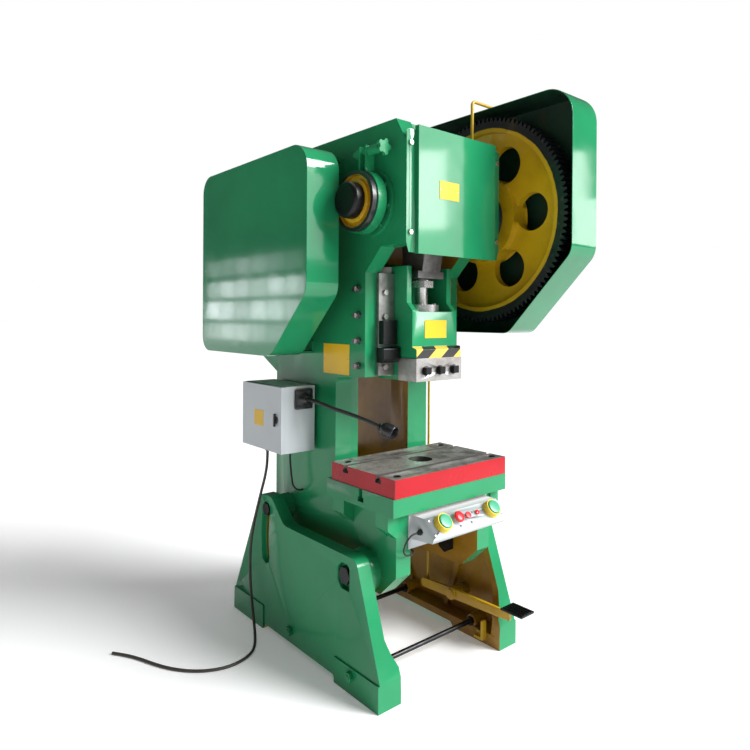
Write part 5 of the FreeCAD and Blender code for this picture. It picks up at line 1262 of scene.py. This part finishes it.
@dataclass
class Studio:
    """The pale floor, the soft lights and the camera."""

    shop: PaintShop
    eye: Triple = (-1.6162639, -1.9021075, 1.2557598)
    yaw: float = 40.705188
    pitch: float = 0.104909
    roll: float = 0.357641
    lens: float = 30.1336
    shift: Tuple[float, float] = (-0.0177697, -0.0752467)
    sun_power: float = 5.6
    sun_spread: float = 32.0
    sun_way: Triple = (-0.46, 0.70, -0.54)
    sky_light: float = 0.10
    floor_glow: float = 0.16
    pane_x: float = -3.0
    pane_start: float = 3.95
    pane_pitch: float = 0.40
    panes: int = 6
    mullion: float = 0.05
    pane_rows: Tuple[Triple, ...] = (
        (0.96, 1.16, 3.2), (1.22, 1.44, 6.5), (1.50, 1.70, 5.0), (1.78, 1.98, 1.8))
    pane_glow: Tuple[float, ...] = (1.0, 0.7, 1.15, 0.55, 0.9, 1.25, 0.8)
    daylight: Triple = (0.93, 0.97, 1.0)
    floor_radius: float = 3.0
    floor_growth: Tuple[float, ...] = (4.0, 10.0)
    boxes: Tuple[Softbox, ...] = (
        Softbox("front box", (3.2, -4.6, 3.0), (0.0, 0.0, 1.2), (2.4, 2.4), 50.0),
        Softbox("cover glint", (3.5, -4.2, 2.75), (-0.1, -0.4, 1.7), (0.5, 0.9), 12.0),
        Softbox("overhead", (0.0, 0.4, 6.0), (0.0, 0.0, 0.0), (4.0, 4.0), 70.0),
        Softbox("rim glint", (6.45, -4.6, 2.9), (0.4, -0.6, 1.6), (0.30, 1.7), 11.0),
        Softbox("rim glint 2", (6.95, -4.6, 2.4), (0.4, -0.6, 1.6), (0.22, 1.2), 6.0))

    def camera(self) -> None:
        """Sets the camera at the eye, looking across the machine from its front left."""
        yaw, pitch, roll = (math.radians(a) for a in (self.yaw, self.pitch, self.roll))
        ahead = Vector((math.sin(yaw) * math.cos(pitch), math.cos(yaw) * math.cos(pitch), -math.sin(pitch)))
        right = Vector((math.cos(yaw), -math.sin(yaw), 0.0))
        up = right.cross(ahead)
        across = right * math.cos(roll) + up * math.sin(roll)
        upward = up * math.cos(roll) - right * math.sin(roll)
        data = bpy.data.cameras.new("eye")
        data.sensor_width = 36.0
        data.lens = self.lens
        data.shift_x, data.shift_y = self.shift
        data.clip_end = 200.0
        camera = bpy.data.objects.new("eye", data)
        camera.matrix_world = Matrix.Translation(Vector(self.eye)) @ Matrix(
            (across, upward, -ahead)).transposed().to_4x4()
        bpy.context.scene.collection.objects.link(camera)
        bpy.context.scene.camera = camera

    @staticmethod
    def hang(box: Softbox) -> None:
        """Hangs one rectangular lamp."""
        data = bpy.data.lights.new(box.name, "AREA")
        data.shape = "RECTANGLE"
        data.size, data.size_y = box.size
        data.energy = box.power
        data.color = box.tint
        lamp = bpy.data.objects.new(box.name, data)
        lamp.location = box.where
        lamp.rotation_euler = (Vector(box.aim) - Vector(box.where)).to_track_quat("-Z", "Y").to_euler()
        lamp.visible_camera = False
        lamp.visible_diffuse = not box.mirrored_only
        bpy.context.scene.collection.objects.link(lamp)

    def floor(self, bench: Bench) -> None:
        """A wide pale floor, finer in its middle."""
        bench.clear()
        bpy.ops.mesh.primitive_circle_add(vertices=64, radius=self.floor_radius, fill_type="NGON")
        piece = bpy.context.object
        piece.name = "studio_floor"
        bpy.ops.object.mode_set(mode="EDIT")
        bpy.ops.mesh.select_all(action="SELECT")
        bpy.ops.mesh.select_mode(type="EDGE")
        bpy.ops.mesh.region_to_loop()
        for growth in self.floor_growth:
            bpy.ops.mesh.extrude_edges_move(TRANSFORM_OT_translate={"value": (0.0, 0.0, 0.0)})
            bpy.ops.transform.resize(value=(growth, growth, 1.0), center_override=(0.0, 0.0, 0.0))
        bpy.ops.object.mode_set(mode="OBJECT")
        material = self.shop.get(Pale())
        shader = next(n for n in material.node_tree.nodes if n.type == "BSDF_PRINCIPLED")
        shader.inputs["Emission Color"].default_value = (1.0, 1.0, 1.0, 1.0)
        shader.inputs["Emission Strength"].default_value = self.floor_glow
        piece.data.materials.append(material)

    def sun(self) -> None:
        """A broad, soft light from the front right."""
        data = bpy.data.lights.new("key sun", "SUN")
        data.energy = self.sun_power
        data.angle = math.radians(self.sun_spread)
        lamp = bpy.data.objects.new("key sun", data)
        lamp.rotation_euler = Vector(self.sun_way).to_track_quat("-Z", "Y").to_euler()
        bpy.context.scene.collection.objects.link(lamp)

    def windows(self) -> None:
        """A wall of window panes at the left, mirrored in the belt guard's glossy side."""
        for row, (low, high, glow) in enumerate(self.pane_rows):
            for column in range(self.panes):
                y = self.pane_start + self.pane_pitch * column
                size = (self.pane_pitch - self.mullion, high - low)
                shade = glow * self.pane_glow[(column * 3 + row) % len(self.pane_glow)]
                middle = (low + high) / 2.0
                self.hang(Softbox("pane %d %d" % (row, column), (self.pane_x, y, middle), (0.0, y, middle),
                                  size, shade * math.pi * size[0] * size[1], self.daylight, True))

    def sky(self) -> None:
        """A white backdrop that lights the machine only a little."""
        world = bpy.data.worlds.new("sky")
        world.use_nodes = True
        tree = world.node_tree
        back = tree.nodes["Background"]
        back.inputs["Color"].default_value = (1.0, 1.0, 1.0, 1.0)
        back.inputs["Strength"].default_value = self.sky_light
        seen = tree.nodes.new("ShaderNodeBackground")
        seen.inputs["Color"].default_value = (1.0, 1.0, 1.0, 1.0)
        seen.inputs["Strength"].default_value = 1.0
        mix = tree.nodes.new("ShaderNodeMixShader")
        ray = tree.nodes.new("ShaderNodeLightPath")
        tree.links.new(ray.outputs["Is Camera Ray"], mix.inputs[0])
        tree.links.new(back.outputs[0], mix.inputs[1])
        tree.links.new(seen.outputs[0], mix.inputs[2])
        tree.links.new(mix.outputs[0], tree.nodes["World Output"].inputs["Surface"])
        bpy.context.scene.world = world

    def lights(self) -> None:
        """A soft key from the front right, the boxes, panes at the left and a pale sky."""
        self.sun()
        for box in self.boxes:
            self.hang(box)
        self.windows()
        self.sky()
        bpy.context.scene.view_settings.view_transform = "Standard"

    def build(self, bench: Bench) -> None:
        """Sets the studio up."""
        self.camera()
        self.floor(bench)
        self.lights()


def main() -> None:
    """Builds every group in order, from the studio to the smallest plate."""
    logging.basicConfig(level=logging.INFO, format="%(name)s: %(message)s")
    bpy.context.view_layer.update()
    shop = PaintShop()
    bench = Bench(shop)
    Studio(shop).build(bench)
    Cables(bench).build()
    for group in (Castings(bench), Guards(bench), Drive(bench), RamGroup(bench), Table(bench),
                  Pedal(bench), Console(bench), Cabinet(bench), WorkLamp(bench), Plates(bench)):
        group.build()
        LOG.info("%s done", type(group).__name__)


if __name__ == "__main__":
    main()
